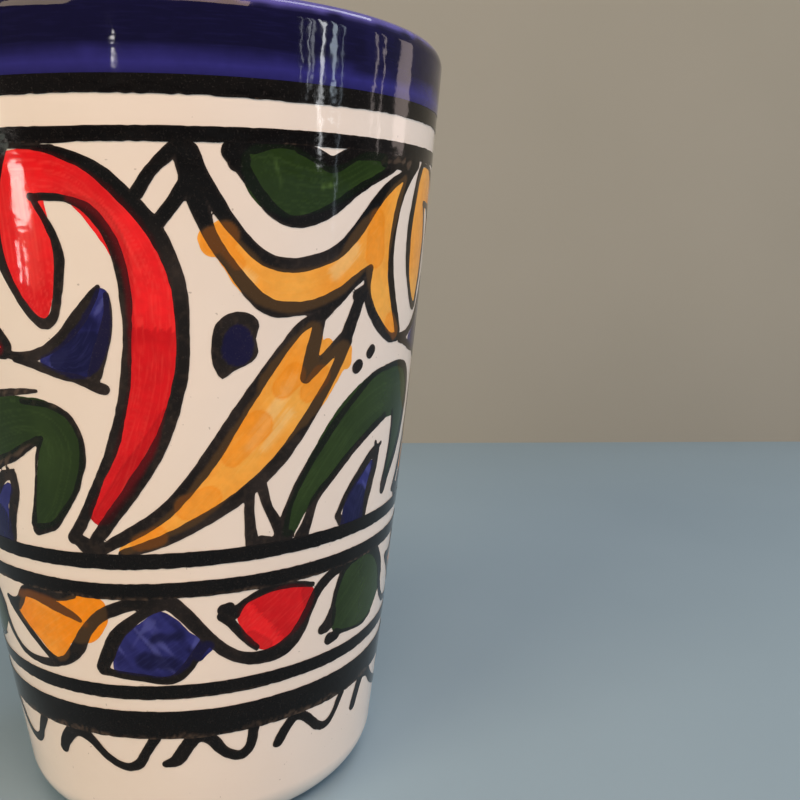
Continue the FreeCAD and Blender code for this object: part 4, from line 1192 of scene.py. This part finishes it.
def lights():
    """Plain soft studio light: a warm key from the left, a broad top light and a cool fill."""
    lamps = {name: lamp(name, *row) for name, row in LAMPS.items()}
    lamps["fill_light"].visible_glossy = False
    for number, (bearing, width, low, high, glow, tint) in enumerate(STRIPS):
        turn = math.radians(bearing)
        place = (STRIP_AWAY * math.sin(turn), -STRIP_AWAY * math.cos(turn), (low + high) / 2.0)
        power = STRIP_SHARE * glow * width * (high - low)
        lamp("strip_%d" % number, place, place[2], width, high - low, power, tint, STRIP_SPREAD)
    world = bpy.data.worlds.new("soft_room")
    world.use_nodes = True
    background = world.node_tree.nodes["Background"]
    background.inputs["Color"].default_value = (1.0, 1.0, 1.0, 1.0)
    background.inputs["Strength"].default_value = ROOM_GLOW
    bpy.context.scene.world = world


def camera():
    """Camera a hand's breadth in front, a little above the middle, looking down past the glass."""
    flat_right = Vector((math.cos(YAW), -math.sin(YAW), 0.0))
    flat_ahead = Vector((math.sin(YAW), math.cos(YAW), 0.0))
    forward = flat_ahead * math.cos(PITCH) - Vector((0.0, 0.0, math.sin(PITCH)))
    flat_up = flat_right.cross(forward)
    right = flat_right * math.cos(ROLL) + flat_up * math.sin(ROLL)
    up = flat_up * math.cos(ROLL) - flat_right * math.sin(ROLL)
    data = bpy.data.cameras.new("camera")
    data.sensor_width = SENSOR
    data.lens = LENS
    data.clip_start = 0.005
    data.clip_end = 10.0
    eye = bpy.data.objects.new("camera", data)
    eye.matrix_world = Matrix.Translation(EYE) @ Matrix((right, up, -forward)).transposed().to_4x4()
    bpy.context.scene.collection.objects.link(eye)
    bpy.context.scene.camera = eye


# ---------------- the scene

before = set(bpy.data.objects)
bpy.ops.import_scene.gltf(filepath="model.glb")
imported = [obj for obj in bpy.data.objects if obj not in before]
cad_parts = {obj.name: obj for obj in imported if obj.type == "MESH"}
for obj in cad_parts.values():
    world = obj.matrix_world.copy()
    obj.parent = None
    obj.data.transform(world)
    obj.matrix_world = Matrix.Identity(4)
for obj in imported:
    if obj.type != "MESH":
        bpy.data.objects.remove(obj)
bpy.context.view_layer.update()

# Slot and material of each film's colour.
PAINTS = {name: (slot, paint_material(slot, light, gain, LEAF_ROUGHNESS))
          for name, (slot, light, gain) in STREAKS.items()}
PAINTS["outlines"] = ("black_paint", black_material())

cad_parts["clay_body"].data.materials.clear()
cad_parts["clay_body"].data.materials.append(clay_material())
glaze()
blue_band()
for line, sizes in LINES.items():
    turned_line(line, *sizes)
frieze()
vine()
scallops()

room()
lights()
camera()
bpy.context.scene.view_settings.view_transform = "Standard"
